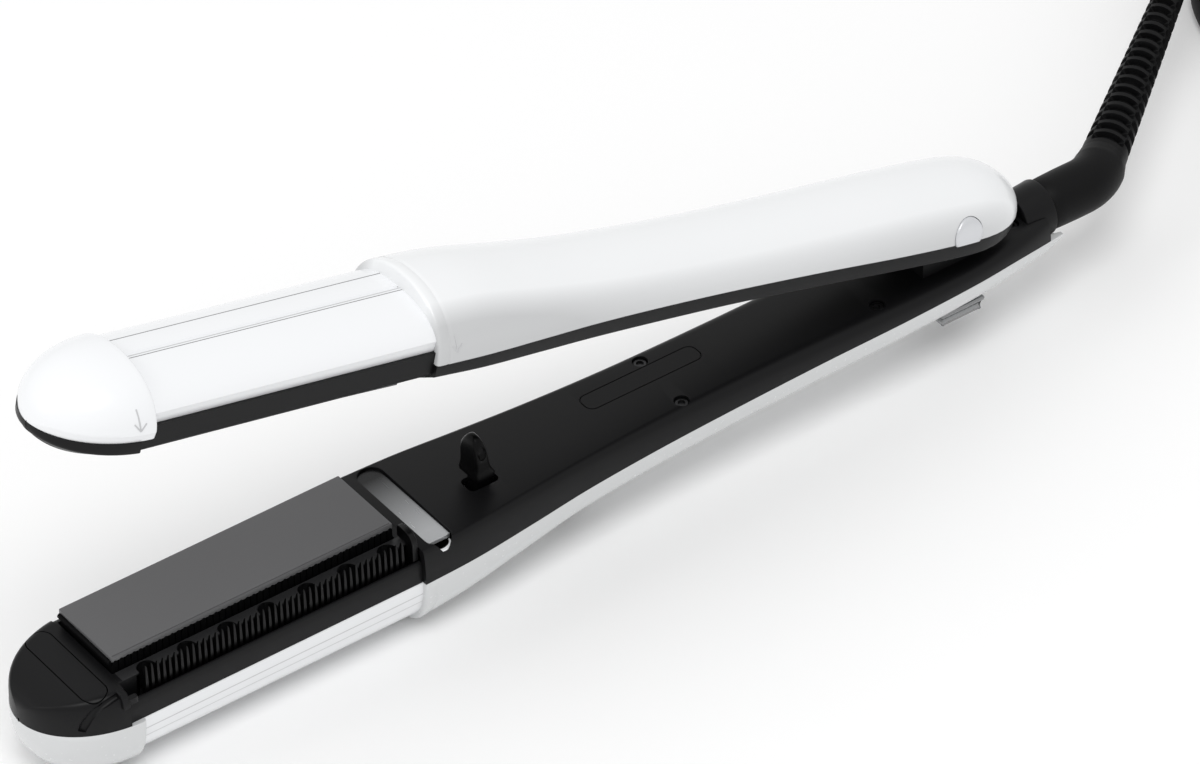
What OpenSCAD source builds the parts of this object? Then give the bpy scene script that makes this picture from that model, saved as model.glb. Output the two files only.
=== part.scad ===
// Steam hair straightener with two hinged arms, floating plates, a comb and a swivel cord.
// X runs from the tip to the cord, Y across the arms and Z up. The origin lies on the
// table, under the flat of the lower tip cap, below the front edge of the plates.
// The lower arm lies level. The upper arm is drawn closed and then opened about the hinge.

/* [Plates] */
// Length of each heated plate
plate_l = 90; // [80:1:90]
// Width of each heated plate
plate_w = 25; // [20:1:26]
// How far each plate stands out of its frame
plate_proud = 4.9; // [4:0.1:4.9]
// Sideways shift of the plates, away from the comb
plate_shift = 2.7; // [2:0.1:3]

/* [Arms] */
// Angle between the arms when they stand open
open_angle = 12.58; // [12:0.1:12.6]
// Further angle that brings the upper plate onto the lower one
close_more = 1.38; // [1.3:0.02:1.4]
// Height of the lower inner face above the table
face_z = 30; // [30:0.5:32]
// Distance of the hinge pin from the front of the plates
hinge_x = 280; // [279:0.5:281]
// Height of the hinge pin above the lower inner face
hinge_up = 15.9; // [15.5:0.1:16.2]
// Half width of the barrels that hold the plates
barrel_b = 19; // [18.6:0.1:19.2]
// Wall of the casing shells
wall = 2; // [1.8:0.1:2.2]

/* [Comb and steam] */
// Number of comb teeth
teeth = 45; // [35:1:45]
// Height of the comb tips above the lower inner face
comb_top = 3.2; // [-0.9:0.1:3.2]
// Number of steam outlets
outlets = 7; // [5:1:7]

/* [Trigger and lock] */
// Travel of the lock slider
lock_travel = 4; // [3:0.5:4]

/* [Cord] */
// Diameter of the cord
cord_d = 6.8; // [6.5:0.1:6.8]
// Turns of the stored coil in each of its four layers
layer_turns = 2.2875; // [1.2875:1:2.2875]
// Outer radius of the coil at the middle of the cord
coil_r = 51; // [49:1:52]

/* [Hidden] */
$fn = 48;
// Clearances: between moving bodies, of a running fit, and of the meeting plates
gap = 0.3;
fit = 0.05;
touch = 0.15;
// Half-ellipse ends of the tips
tip_x = 3.4;
tip_l = 27;
tip_b = 20.3;
ring_x = 93;
// Lower arm stations: x, half width at the seam, depth of the dome, seam below the face,
// half width of the face
LOWER = [
    [93, 20.5, 19.8, 11.0, 18.5],
    [110, 20.2, 17.8, 10.5, 18.0],
    [130, 18.6, 14.6, 9.8, 16.5],
    [150, 16.8, 12.2, 9.0, 15.0],
    [175, 15.6, 11.2, 8.2, 14.0],
    [200, 15.2, 10.8, 7.4, 13.5],
    [230, 15.2, 10.8, 6.4, 13.5],
    [260, 15.6, 10.8, 5.5, 14.0],
    [285, 15.0, 10.0, 5.0, 13.4],
    [300, 13.4, 8.6, 5.2, 11.8],
    [312, 10.4, 6.0, 6.6, 9.0],
    [320, 6.5, 2.6, 8.6, 5.5],
];
// Upper arm stations, closed: x, half width at the seam, height of the dome, seam above
// the lower face, lower edge of the dark band, inner face
UPPER = [
    [93, 20.5, 17.0, 20.9, 17.2, 11.5],
    [110, 20.2, 17.0, 20.4, 16.2, 11.0],
    [130, 18.6, 15.2, 19.5, 15.0, 10.4],
    [150, 16.8, 13.8, 18.5, 13.7, 9.8],
    [175, 15.6, 13.2, 17.3, 12.4, 9.0],
    [200, 15.2, 13.0, 16.2, 11.4, 8.2],
    [230, 15.4, 13.5, 14.8, 10.0, 7.0],
    [260, 16.2, 14.1, 13.5, 8.8, 6.0],
    [285, 16.2, 13.6, 12.8, 8.0, 5.6],
    [293, 15.2, 12.6, 12.8, 8.6, 6.6],
    [299, 12.8, 10.6, 12.9, 9.8, 8.4],
    [303.5, 9.0, 7.4, 13.0, 10.8, 9.8],
    [306, 4.8, 4.0, 13.0, 11.4, 10.8],
];
// Roundness of the sections
lower_n = 2.6;
upper_n = 2.2;
// Upper barrel: seam, dome, band edge and inner face
up_seam = 24.3;
up_dome = 9.2;
up_band = 17.5;
up_inner = 11.5;
tip_seam = 20.9;
tip_dome = 15.6;
low_seam = 11;
low_dome = 18;
cap_dome = 19.8;
// Lock stem, fill plug under the tank and block of the hinge bracket
lock_x0 = 280;
lock_x1 = 288;
fill_x = 150;
plug_r = 4;
bracket_x0 = 270;
bracket_x1 = 290;
bracket_half = 8.6;
tank_top = -2.1;
tank_low = -13.6;
// Swivel axis, below the lower face, and the bend of the elbow
cord_z = -3;
socket_start = 308;
socket_end = 318;
bend_x = 340;
bend_r = 16;
bend_angle = 38;
boot_start = 9;
boot_end = 88;
ribs = 14;

// Smooth value of column c of a station table at x
function row(tab, x, i = 0) = i >= len(tab) - 2 || x < tab[i + 1][0] ? i : row(tab, x, i + 1);
function slope(tab, i, c) =
    let (a = max(0, i - 1), b = min(len(tab) - 1, i + 1))
    (tab[b][c] - tab[a][c]) / (tab[b][0] - tab[a][0]);
function station(tab, x, c) =
    let (i = row(tab, x), w = tab[i + 1][0] - tab[i][0], t = (x - tab[i][0]) / w)
    (2 * t * t * t - 3 * t * t + 1) * tab[i][c]
    + (t * t * t - 2 * t * t + t) * w * slope(tab, i, c)
    + (3 * t * t - 2 * t * t * t) * tab[i + 1][c]
    + (t * t * t - t * t) * w * slope(tab, i + 1, c);

// Half superellipse from +b over c to -b
function curve(v, n) = sign(v) * pow(abs(v), 2 / n);
function dome(b, c, n, k) =
    [for (i = [0:k]) [b * curve(cos(180 * i / k), n), c * curve(sin(180 * i / k), n)]];
function flip(list) = [for (i = [len(list) - 1:-1:0]) list[i]];

// Closed outline of a half shell with its wall, base at s, dome towards up or down. What
// would reach below the table is cut to a flat land.
function shell_ring(x, b, c, n, s, side, w, k) =
    let (wb = min(w, b - 0.4), wc = min(w, c - 0.4))
    let (outer = dome(b, c, n, k), inner = flip(dome(b - wb, c - wc, n, k)))
    [for (p = concat(outer, inner)) [x, p[0], max(-face_z, s + side * p[1])]];

// Solid through rings of equal length that follow each other along X. The first half of each
// ring is its outer side and the second half runs back along its inner side.
module loft(rings) {
    n = len(rings[0]);
    m = len(rings);
    z = (m - 1) * n;
    sides = [for (i = [0:m - 2], j = [0:n - 1])
        let (a = i * n + j, b = i * n + (j + 1) % n)
        each [[a, b, b + n], [a, b + n, a + n]]];
    ends = [for (j = [0:n / 2 - 2])
        let (a = j, b = j + 1, c = n - 2 - j, d = n - 1 - j)
        each [[c, b, a], [d, c, a], [z + a, z + b, z + c], [z + a, z + c, z + d]]];
    polyhedron([for (r = rings) each r], concat(sides, ends));
}
module mirrored_loft(rings) {
    loft([for (r = rings) flip(r)]);
}

// Evenly spread values from a to b
function spread(a, b, k) = [for (i = [0:k]) a + (b - a) * i / k];
// Positions along a rounded tip, close together at its end
function tip_steps(k) = [for (i = [0:k]) tip_x - tip_l * sin(86 * i / k)];
// The same for the dark tips, which start just in front of the plates
frame_x = -1;
frame_steps = [for (x = concat([frame_x], tip_steps(12))) if (x <= frame_x) x];
function tip_scale(x, n) = pow(max(0, 1 - pow((tip_x - x) / tip_l, n)), 1 / n);

module on_face() {
    translate([0, 0, face_z]) children();
}
module opened() {
    translate([hinge_x, 0, hinge_up])
        rotate([0, open_angle, 0])
            translate([-hinge_x, 0, -hinge_up])
                children();
}
// The upper plate and its mounting lie parallel to the lower plate when the arms are closed
module plated() {
    translate([hinge_x, 0, hinge_up])
        rotate([0, open_angle + close_more, 0])
            translate([-hinge_x, 0, -hinge_up])
                children();
}
// Bar along X with a section drawn in Y and Z
module bar_x(x0, x1) {
    translate([x0, 0, 0])
        rotate([90, 0, 90])
            linear_extrude(x1 - x0) children();
}
module pin_y(x, z, r, y0, y1) {
    translate([x, y0, z])
        rotate([-90, 0, 0])
            cylinder(r = r, h = y1 - y0);
}
module pin_x(x0, x1, z, r) {
    translate([x0, 0, z])
        rotate([0, 90, 0])
            cylinder(r = r, h = x1 - x0);
}
module block(x0, x1, y0, y1, z0, z1) {
    translate([x0, y0, z0]) cube([x1 - x0, y1 - y0, z1 - z0]);
}
// Block with round ends across the arm
module slot_block(x0, x1, half, z0, z1) {
    r = (x1 - x0) / 2;
    ends = [for (side = [0, 1], i = [0:8])
        let (a = 180 * side + 22.5 * i)
        [x0 + r + r * cos(a), (1 - 2 * side) * (half - r) + r * sin(a)]];
    translate([0, 0, z0]) linear_extrude(z1 - z0) polygon(ends);
}

// Lower arm, white casing
module lower_outer_shell() {
    xs = concat([93, 96, 101], spread(106, 300, 14), [306, 312, 316, 320]);
    color("white") on_face() difference() {
        loft([for (x = xs)
            shell_ring(x, station(LOWER, x, 1), station(LOWER, x, 2), lower_n,
                -station(LOWER, x, 3), -1, wall, 16)]);
        socket_envelope(0.1);
        lock_slot();
        fill_hole(plug_r + 0.1, -26, -12);
    }
}
module lock_slot() {
    block(lock_x0 - lock_travel - gap, lock_x1 + gap, -3 - gap, 3 + gap, -22, -9);
}
// Fill opening under the handle
module fill_hole(r, z0, z1) {
    translate([fill_x, 0, z0]) cylinder(r = r, h = z1 - z0);
}
module lower_barrel() {
    color("white") on_face() bar_x(tip_x, ring_x) difference() {
        scale([1, -1]) polygon([for (p = dome(barrel_b, low_dome, lower_n, 32))
            [p[0], low_seam + p[1]]]);
        scale([1, -1]) polygon([for (p = dome(barrel_b - wall, low_dome - wall, lower_n, 32))
            [p[0], low_seam + p[1]]]);
    }
}
// The bottom of the cap is a flat land that rests on the table
module lower_tip_cap() {
    color("white") on_face() mirrored_loft([for (x = tip_steps(12))
        let (t = tip_scale(x, 2), u = tip_scale(x, lower_n))
        shell_ring(x, tip_b * t, cap_dome * u, lower_n, -low_seam, -1, wall, 16)]);
}

// Dark inner side of the lower arm: section with rounded shoulders and its wall
function cover_ring(x, b, d, f, w) =
    let (r = 1.6, out = [[b, -d], [f, -r], [f - 0.3 * r, -0.3 * r], [f - r, 0]],
        inn = [[b - w, -d], [f - w, -r - 0.4], [f - w - 0.3, -w - 0.2], [f - w - 0.9, -w]])
    let (half = concat(out, [for (p = flip(out)) [-p[0], p[1]]]),
        back = concat([for (p = inn) [-p[0], p[1]]], flip(inn)))
    [for (p = concat(half, back)) [x, p[0], p[1]]];

// Outline of an arm seen from above: half widths of a table, drawn in by a margin
function half_width(tab, x, a, b) = (station(tab, x, a) + station(tab, x, b)) / 2;
function outline(tab, xs, a, b, margin) = concat(
    [for (x = xs) [x, half_width(tab, x, a, b) - margin]],
    [for (x = flip(xs)) [x, margin - half_width(tab, x, a, b)]]);
// Slice across the whole width, drawn from the side
module side_slice(pts) {
    translate([0, 30, 0]) rotate([90, 0, 0]) linear_extrude(60) polygon(pts);
}

module lower_inner_cover() {
    xs = [93.1, 110, 130, 150, 175, 200, 230, 260, 285, 300, 308, 314];
    color("#161616") on_face() difference() {
        intersection() {
            translate([0, 0, -15]) linear_extrude(20) polygon(outline(LOWER, xs, 1, 4, 0.2));
            side_slice(concat([[314, 0], [93.1, 0]],
                [for (x = xs) [x, 0.05 - station(LOWER, x, 3)]]));
        }
        translate([0, 0, -20]) linear_extrude(20 - wall)
            polygon(outline(LOWER, [95, 110, 130, 150, 175, 200, 230, 260, 285, 300], 1, 4, 2.2));
        translate([0, 0, -4]) slot_block(96, 104, 18, 0, 5);
        trigger_slot();
        socket_envelope(0);
        hinge_cutout();
        for (p = SCREWS) translate([p[0], p[1], -3]) cylinder(r = 2.1, h = 4);
    }
}
module trigger_slot() {
    block(112, 128, -7.6, -1.4, -4, 1);
}
module hinge_cutout() {
    block(bracket_x0, bracket_x1, -bracket_half, bracket_half, -4, 1);
}
SCREWS = [[186.5, 9.8], [185.5, -10.4], [253, -9.8], [304.5, -4.2]];

// Flat dark land round the plate, hollow below
function frame_section() = [
    [-barrel_b + 0.25, -low_seam], [-18, -1.6], [-17.6, -0.4], [-16.4, 0],
    [16.4, 0], [17.6, -0.4], [18, -1.6], [barrel_b - 0.25, -low_seam],
];
module lower_plate_frame() {
    color("#161616") on_face() difference() {
        bar_x(frame_x, ring_x) polygon(frame_section());
        block(frame_x - 1, ring_x + 1, -9.6, 17, -low_seam - 1, -3);
        plate_hole(-5, 1);
        block(tip_x + 1, ring_x - 1, -17, -11, -9, 1);
        block(tip_x + 2, ring_x - 2, -14.5, -12, -low_seam - 1, -8);
    }
}
module plate_hole(z0, z1) {
    block(-gap, plate_l + gap, plate_shift - plate_w / 2 - gap, plate_shift + plate_w / 2 + gap,
        z0, z1);
}
module lower_tip_frame() {
    color("#161616") on_face() mirrored_loft([for (x = frame_steps)
        let (t = tip_scale(x, 2), d = low_seam * pow(t, 0.35) - 0.05)
        [for (p = cover_ring(x, max(2.6, tip_b * t - 0.25), d, max(2.2, 18 * t),
            min(wall, 0.9 + t))) p + [0, 0, d - low_seam + 0.05]]]);
}

// Tray inside a barrel that carries the plate springs
SPRINGS = [15, 75];
module lower_chassis() {
    color("dimgray") on_face() difference() {
        block(tip_x + 1, ring_x - 1, -16.4, 16.4, -16, -14);
        block(riser_x - gap, riser_x + 8 + gap, -14.2, -11.8, -17, -13);
    }
}
module plate_springs(z0, z1) {
    for (x = SPRINGS)
        translate([x, plate_shift, z0]) difference() {
            cylinder(r = 3.4, h = z1 - z0);
            translate([0, 0, -1]) cylinder(r = 2.4, h = z1 - z0 + 2);
        }
}
module lower_plate_springs() {
    color("silver") on_face() plate_springs(-14, -6.5);
}
// Plate with bevelled long edges, a bar section along the arm
module plate_bar(top) {
    half = plate_w / 2;
    bar_x(0, plate_l) translate([plate_shift, 0]) polygon([
        [-half, -3], [half, -3], [half, top - 0.8], [half - 0.8, top],
        [0.8 - half, top], [-half, top - 0.8],
    ]);
}
module lower_plate() {
    color("#3c3c3e") on_face() plate_bar(plate_proud);
}
module heater_pad(z0, z1) {
    block(8, 82, plate_shift - 8, plate_shift + 8, z0, z1);
}
module lower_heater() {
    color("#b5651d") on_face() heater_pad(-6.5, -3);
}

// Steam outlets behind the comb: half round niches, each with its jet
module steam_outlet_bar() {
    step = plate_l / outlets;
    color("#1c1c1c") on_face() difference() {
        block(tip_x + 1.2, ring_x - 1.2, -13.9, -11.1, -9, -0.4);
        for (i = [0:outlets - 1])
            translate([step * (i + 0.5) + 2, -13.9, -6.4]) {
                cylinder(r = 2.4, h = 8);
                rotate([-90, 0, 0]) cylinder(r = 0.6, h = 4);
            }
    }
}
module steam_chamber() {
    color("#9a9a9a") on_face() difference() {
        union() {
            block(10, 84, -14.4, -8.6, -21.3, -16.1);
            block(riser_x, riser_x + 8, -13.8, -12.2, -16.2, -9.1);
        }
        block(12, 82, -13.2, -9.8, -20.1, -17.6);
        block(riser_x + 1, riser_x + 7, -13.4, -12.6, -18, -9);
    }
}
riser_x = 40;
module comb() {
    step = (plate_l - 6) / teeth;
    color("#202020") on_face() {
        block(tip_x + 1.2, ring_x - 1.2, -16.7, -14.3, -8.7, -6.6);
        for (i = [0:teeth - 1])
            block(tip_x + 2.6 + i * step, tip_x + 3.5 + i * step, -16.4, -14.5, -6.6, comb_top);
        block(ring_x - 3, ring_x - 1.2, -16.4, -14.5, -6.6, comb_top - 0.4);
    }
}
module heat_strip() {
    color("silver") on_face() translate([0, 0, -2]) slot_block(96.1, 103.9, 17.9, 0, 1.2);
}

// Curved finger that the upper arm presses when the arms close
module steam_trigger() {
    color("#141414") on_face() difference() {
        union() {
            translate([0, -1.9, 0]) rotate([90, 0, 0]) linear_extrude(5.2) trigger_outline();
            intersection() {
                translate([0, 0.1, 0]) rotate([90, 0, 0]) linear_extrude(9.2) trigger_outline();
                translate([110, 0, 0]) rotate([90, 0, 90]) linear_extrude(20) polygon([
                    [-9.1, 3.2], [-9.1, 9], [-7.8, 12.6], [-5.4, 14.8], [-3.4, 15.4],
                    [-1.4, 14.4], [0, 12], [0, 3.2],
                ]);
            }
        }
        pin_y(trigger_pivot_x, trigger_pivot_z, 1 + fit, -8, 0);
    }
}
trigger_pivot_x = 124;
trigger_pivot_z = -6.5;
module trigger_outline() {
    polygon([
        [115, -4], [118.5, -3.4], [119.3, 3], [119.4, 8], [119.7, 12.6], [120.4, 15.2],
        [121.9, 15.2], [122.5, 12.6], [123.4, 8], [124.4, 2], [125.6, -3], [126.4, -8],
        [122, -8.6], [120, -6.4], [115, -6.4],
    ]);
}
module trigger_pin() {
    color("silver") on_face() {
        pin_y(trigger_pivot_x, trigger_pivot_z, 1, -9.8, -0.6);
        for (y = [-9.8, -1.4])
            block(trigger_pivot_x - 2, trigger_pivot_x + 2, y, y + 0.8, -8.5, -wall);
    }
}
module pump() {
    color("gainsboro") on_face() {
        difference() {
            union() {
                pin_x(104, 128, -18, 4.5);
                block(121, 128, -2.5, 2.5, -15, -11);
                translate([plunger_x, plunger_y, -16]) cylinder(r = 2.6, h = 5);
            }
            translate([plunger_x, plunger_y, -15]) cylinder(r = 1.4 + fit, h = 5);
        }
    }
}
// Plunger that the toe of the trigger pushes into the pump
plunger_x = 116.5;
plunger_y = -3.4;
module pump_plunger() {
    color("white") on_face() {
        translate([plunger_x, plunger_y, -12.5]) cylinder(r = 1.4, h = 5.8);
    }
}
module steam_pipes() {
    color("lightgray") on_face() {
        translate([84, -11.5, -18]) rotate([0, 90, 0]) cylinder(r = 1.2, h = 21);
        pin_y(105, -18, 1.6, -13.2, -4.6);
        pin_x(128, 143, -12.3, 1);
    }
}
module water_tank() {
    color("lightsteelblue") on_face() difference() {
        union() {
            block(143, 218, -9.5, 8.5, tank_low, tank_top);
            fill_hole(5.2, -16.5, tank_low + 1);
        }
        block(144.2, 216.8, -8.3, 7.3, tank_low + 1.2, tank_top - 1.2);
        fill_hole(plug_r, -17, tank_low + 2);
    }
}
// Rubber plug of the fill opening, flush below with a grip rim
module tank_plug() {
    color("gray") on_face() {
        fill_hole(plug_r - fit, -20.6, tank_low);
        fill_hole(plug_r + 1.4, -23.6, -22.5);
        fill_hole(plug_r - 1, -23, -20);
    }
}
module control_board() {
    color("seagreen") on_face() {
        block(222, 266, -9, 9, -6.6, -5);
        for (x = [223, 262], y = [-8, 6]) block(x, x + 2, y, y + 2, -5, -wall);
        for (x = [226, 240, 252]) block(x, x + 7, -6, 4, -10, -6.6);
    }
}

// Metal lock under the rear of the lower arm: slider, stem and latch bar
module lock_slider() {
    color("silver") on_face() {
        hull() {
            block(277, 291, -8, 8, -17, -16);
            block(279, 289, -6, 6, -20, -19.4);
        }
        block(lock_x0, lock_x1, -3, 3, -16, -11);
        block(lock_x0 - 1, lock_x1 + 1, -5, 5, -12.2, -11);
    }
}
module screw_head() {
    difference() {
        cylinder(r = 2, h = 1.3);
        translate([0, 0, 0.7]) cylinder(r = 1.1, h = 1);
    }
}
module face_screws() {
    color("#2a2a2a") on_face() for (p = SCREWS)
        translate([p[0], p[1], -2]) screw_head();
}

// Hinge: bracket on the lower arm, pin, lugs and caps on the upper arm
module hinge_bracket() {
    color("#181818") on_face() difference() {
        union() {
            block(bracket_x0, bracket_x1, -bracket_half, bracket_half, -3.6, hinge_up - 4);
            pin_y(hinge_x, hinge_up, 5, -bracket_half, bracket_half);
            block(hinge_x - 5, hinge_x + 5, -bracket_half, bracket_half, hinge_up - 5, hinge_up);
        }
        pin_y(hinge_x, hinge_up, 2 + fit, -10, 10);
        pin_y(hinge_x, hinge_up, 5.3, -4, 4);
        block(hinge_x - 8, hinge_x + 8, -4, 4, hinge_up - 4, hinge_up + 6);
    }
}
module hinge_spring() {
    color("silver") on_face() difference() {
        pin_y(hinge_x, hinge_up, 4.4, -3.6, 3.6);
        pin_y(hinge_x, hinge_up, 2.4, -5, 5);
    }
}
module hinge_pin() {
    color("silver") on_face() opened() pin_y(hinge_x, hinge_up, 2, -13.5, 13.5);
}
module hinge_lugs() {
    color("dimgray") on_face() opened() difference() {
        for (side = [0, 1]) mirror([0, side, 0]) {
            pin_y(hinge_x, hinge_up, 3.4, 9.2, 10.9);
            block(hinge_x - 3.4, hinge_x + 3.4, 9.2, 12.4, 10.6, 12.5);
            block(hinge_x - 3.4, hinge_x + 3.4, 9.2, 10.9, 10.6, hinge_up);
        }
        pin_y(hinge_x, hinge_up, 2, -14, 14);
    }
}
module hinge_cap(y0, y1) {
    intersection() {
        pin_y(hinge_x, hinge_up, 4.8, y0, y1);
        block(hinge_x - 6, hinge_x + 6, y0 - 1, y1 + 1, hinge_up - 2.9, hinge_up + 6);
    }
}
module hinge_cap_near() {
    color("silver") on_face() opened() hinge_cap(-16.6, -13.5);
}
module hinge_cap_far() {
    color("silver") on_face() opened() hinge_cap(13.5, 16.6);
}

// Socket for the swivel cord at the rear of the lower arm
module socket_envelope(extra) {
    translate([socket_start - extra, 0, cord_z]) rotate([0, 90, 0])
        cylinder(r1 = 7.8 + extra, r2 = 8.7 + extra, h = socket_end - socket_start + 4);
}
module cord_socket() {
    color("#161616") on_face() difference() {
        translate([socket_start, 0, cord_z]) rotate([0, 90, 0])
            cylinder(r1 = 7.7, r2 = 8.4, h = socket_end - socket_start);
        pin_x(socket_start + 2, socket_end + 1, cord_z, 5 + fit);
        pin_x(socket_start + 3.4, socket_start + 6.6, cord_z, 6.2);
    }
}
// Elbow that turns in the socket and leads the cord sideways: centre line and radii
bend_back = bend_r * tan(bend_angle / 2);
elbow_r = 7.6;
boot_r0 = 6.6;
bend_pts = [for (i = [0:8]) let (a = bend_angle * i / 8)
    [bend_x - bend_back + bend_r * sin(a), bend_r * (1 - cos(a)), cord_z]];
elbow_pts = concat([[socket_end + gap, 0, cord_z]], bend_pts,
    [[bend_x + boot_start * cos(bend_angle), boot_start * sin(bend_angle), cord_z]]);
module swivel_elbow() {
    last = len(elbow_pts) - 1;
    color("#121212") on_face() {
        pin_x(socket_start + 2.3, socket_end + 2, cord_z, 5);
        pin_x(socket_start + 3.7, socket_start + 6.3, cord_z, 5.9);
        loft([for (i = [0:last])
            tube_ring(elbow_pts, i, i == last ? boot_r0 : elbow_r, 24)]);
    }
}
// Frame at the end of the bend, with Z along the boot
module along_boot() {
    translate([bend_x, 0, 0]) rotate([0, 0, bend_angle])
        translate([bend_back, 0, 0]) rotate([0, 90, 0]) children();
}
function boot_r(s) = boot_r0 - 2.2 * s / (boot_end - boot_start);
module cord_boot() {
    h = boot_end - boot_start;
    pitch = (h - 8) / ribs;
    groove = 1.1;
    profile = [
        [cord_d / 2, 0], [boot_r(0), 0],
        for (i = [0:ribs - 1]) let (s = 3 + i * pitch)
            each [[boot_r(s), s], [boot_r(s) - groove, s],
                [boot_r(s) - groove, s + 0.45 * pitch], [boot_r(s), s + 0.45 * pitch]],
        [boot_r(h), h], [cord_d / 2, h],
    ];
    color("#121212") on_face() translate([0, 0, cord_z]) along_boot()
        translate([0, 0, boot_start - bend_back]) rotate_extrude() polygon(profile);
}

// Free cord: hand-laid points in the model's frame, from the boot onto the top of the coil
exit_x = bend_x + boot_end * cos(bend_angle);
exit_y = boot_end * sin(bend_angle);
exit_z = face_z + cord_z;
dir = [cos(bend_angle), sin(bend_angle), 0];
// Distance along the boot's line and height below the exit of each point
LEAD = [[0, 0], [5, -0.03], [10, -0.15], [16, -0.45], [22, -0.85], [28, -1.2], [33, -1.37], [36, -1.4], [38, -1.4]];
lead_end = 38;
coil_lead = cord_d;
coil_c = [
    exit_x + (lead_end + coil_lead) * dir[0] + coil_r * dir[1],
    exit_y + (lead_end + coil_lead) * dir[1] - coil_r * dir[0],
];

function unit(v) = v / norm(v);
// Tube of round section through points
function tube_ring(pts, i, r, k) =
    let (n = len(pts), a = pts[max(0, i - 1)], b = pts[min(n - 1, i + 1)], t = unit(b - a),
        s = unit(cross(t, [0, 0, 1])), u = cross(s, t))
    [for (j = [0:k - 1]) pts[i] + r * (cos(360 * j / k) * s + sin(360 * j / k) * u)];
module tube(pts, r, k) {
    loft([for (i = [0:len(pts) - 1]) tube_ring(pts, i, r, k)]);
}
module cord() {
    pts = [for (p = LEAD) [exit_x + p[0] * dir[0], exit_y + p[0] * dir[1], exit_z + p[1]]];
    color("#121212") tube(pts, cord_d / 2, 10);
}

// Coil of four layers: the radius runs in and out, and the cord steps down where it turns back
layers = 4;
coil_steps = 24;
pitch_r = cord_d + 0.6;
pitch_z = cord_d + 0.6;
start_a = bend_angle + 90;
function saw(t) = let (u = t / layer_turns, k = floor(u), f = u - k) k % 2 == 0 ? f : 1 - f;
function ramp(v) = let (c = max(0, min(1, v))) c * c * (3 - 2 * c);
function drop(t) = pitch_z * ramp((t - layer_turns + 0.25) * 2)
    + pitch_z * ramp((t - 2 * layer_turns + 0.25) * 2)
    + pitch_z * ramp((t - 3 * layer_turns + 0.25) * 2);
function coil_point(t) =
    let (r = coil_r - pitch_r * layer_turns * saw(t), a = start_a - 360 * t)
    [coil_c[0] + r * cos(a), coil_c[1] + r * sin(a), cord_d / 2 + 3 * pitch_z - drop(t)];
coil_turns = layers * layer_turns;
coil_count = ceil(coil_steps * coil_turns);
coil_pts = [for (i = [0:coil_count]) coil_point(coil_turns * i / coil_count)];
end_a = start_a - 360 * coil_turns;
end_dir = [sin(end_a), -cos(end_a), 0];
coil_out = coil_pts[len(coil_pts) - 1] + coil_lead * end_dir;
coil_in = coil_pts[0] - coil_lead * dir;
coil_path = concat([coil_in], coil_pts, [coil_out]);
module cord_coil() {
    color("#121212") tube(coil_path, cord_d / 2, 6);
}
far_pairs = [for (i = [0:2:len(coil_pts) - 1], j = [i + 12:len(coil_pts) - 1])
    norm(coil_pts[i] - coil_pts[j])];
echo("least gap between turns", min(far_pairs) - cord_d);

// Last stretch, from the foot of the coil to the plug beside it
TAIL = [[0, 0], [5, 0.1], [10, 0.7], [15, 1.8], [20, 2.9], [25, 3.5], [30, 3.6]];
tail_end = 30;
plug_half = 7;
module cord_tail() {
    pts = [for (p = TAIL) coil_out + p[0] * end_dir + [0, 0, p[1]]];
    color("#121212") tube(pts, cord_d / 2, 10);
}
module at_plug() {
    translate([coil_out[0], coil_out[1], plug_half])
        rotate([0, 0, end_a - 90])
            translate([tail_end, 0, 0])
                rotate([0, 90, 0]) children();
}
module plug_body() {
    color("#181818") at_plug() {
        cylinder(r1 = 4.6, r2 = 6, h = 12);
        translate([0, 0, 12]) intersection() {
            cylinder(r1 = 6, r2 = 17, h = 24);
            translate([-plug_half, -13, 0]) cube([2 * plug_half, 26, 24]);
        }
    }
}
module plug_pins() {
    color("silver") at_plug() translate([0, 0, 36]) for (side = [-1, 1])
        translate([0, side * 9.3, 0]) cylinder(r = 2, h = 19);
}
module coil_tie() {
    low = cord_d / 2;
    tie_a = start_a - 168;
    inner = coil_r - pitch_r * layer_turns - low;
    outer = coil_r + low;
    top = cord_d + 3 * pitch_z;
    color("#1a1a1a") translate([coil_c[0], coil_c[1], 0])
        rotate([0, 0, tie_a]) difference() {
            block(inner - 1.4, outer + 1.4, -4, 4, 0, top + 2);
            block(inner, outer, -5, 5, -1, top + 0.6);
        }
}

// Upper arm, drawn closed and opened about the hinge
module upper_outer_shell() {
    xs = concat([93, 96, 101], spread(106, 285, 13), [291, 296, 300, 303, 305, 306]);
    color("white") on_face() opened() difference() {
        mirrored_loft([for (x = xs)
            shell_ring(x, station(UPPER, x, 1), station(UPPER, x, 2), upper_n,
                station(UPPER, x, 3), 1, wall, 16)]);
        pin_y(hinge_x, hinge_up, 5, -20, -12);
        pin_y(hinge_x, hinge_up, 5, 12, 20);
    }
}
module upper_barrel() {
    color("white") on_face() opened() bar_x(tip_x, ring_x) difference() {
        polygon([for (p = dome(barrel_b, up_dome, upper_n, 32)) [p[0], up_seam + p[1]]]);
        polygon([for (p = dome(barrel_b - wall, up_dome - wall, upper_n, 32))
            [p[0], up_seam + p[1]]]);
    }
}
module upper_tip_cap() {
    color("white") on_face() opened() loft([for (x = tip_steps(12))
        let (t = tip_scale(x, 2), u = tip_scale(x, upper_n))
        shell_ring(x, tip_b * t, tip_dome * u, upper_n, tip_seam, 1, wall, 16)]);
}
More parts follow.
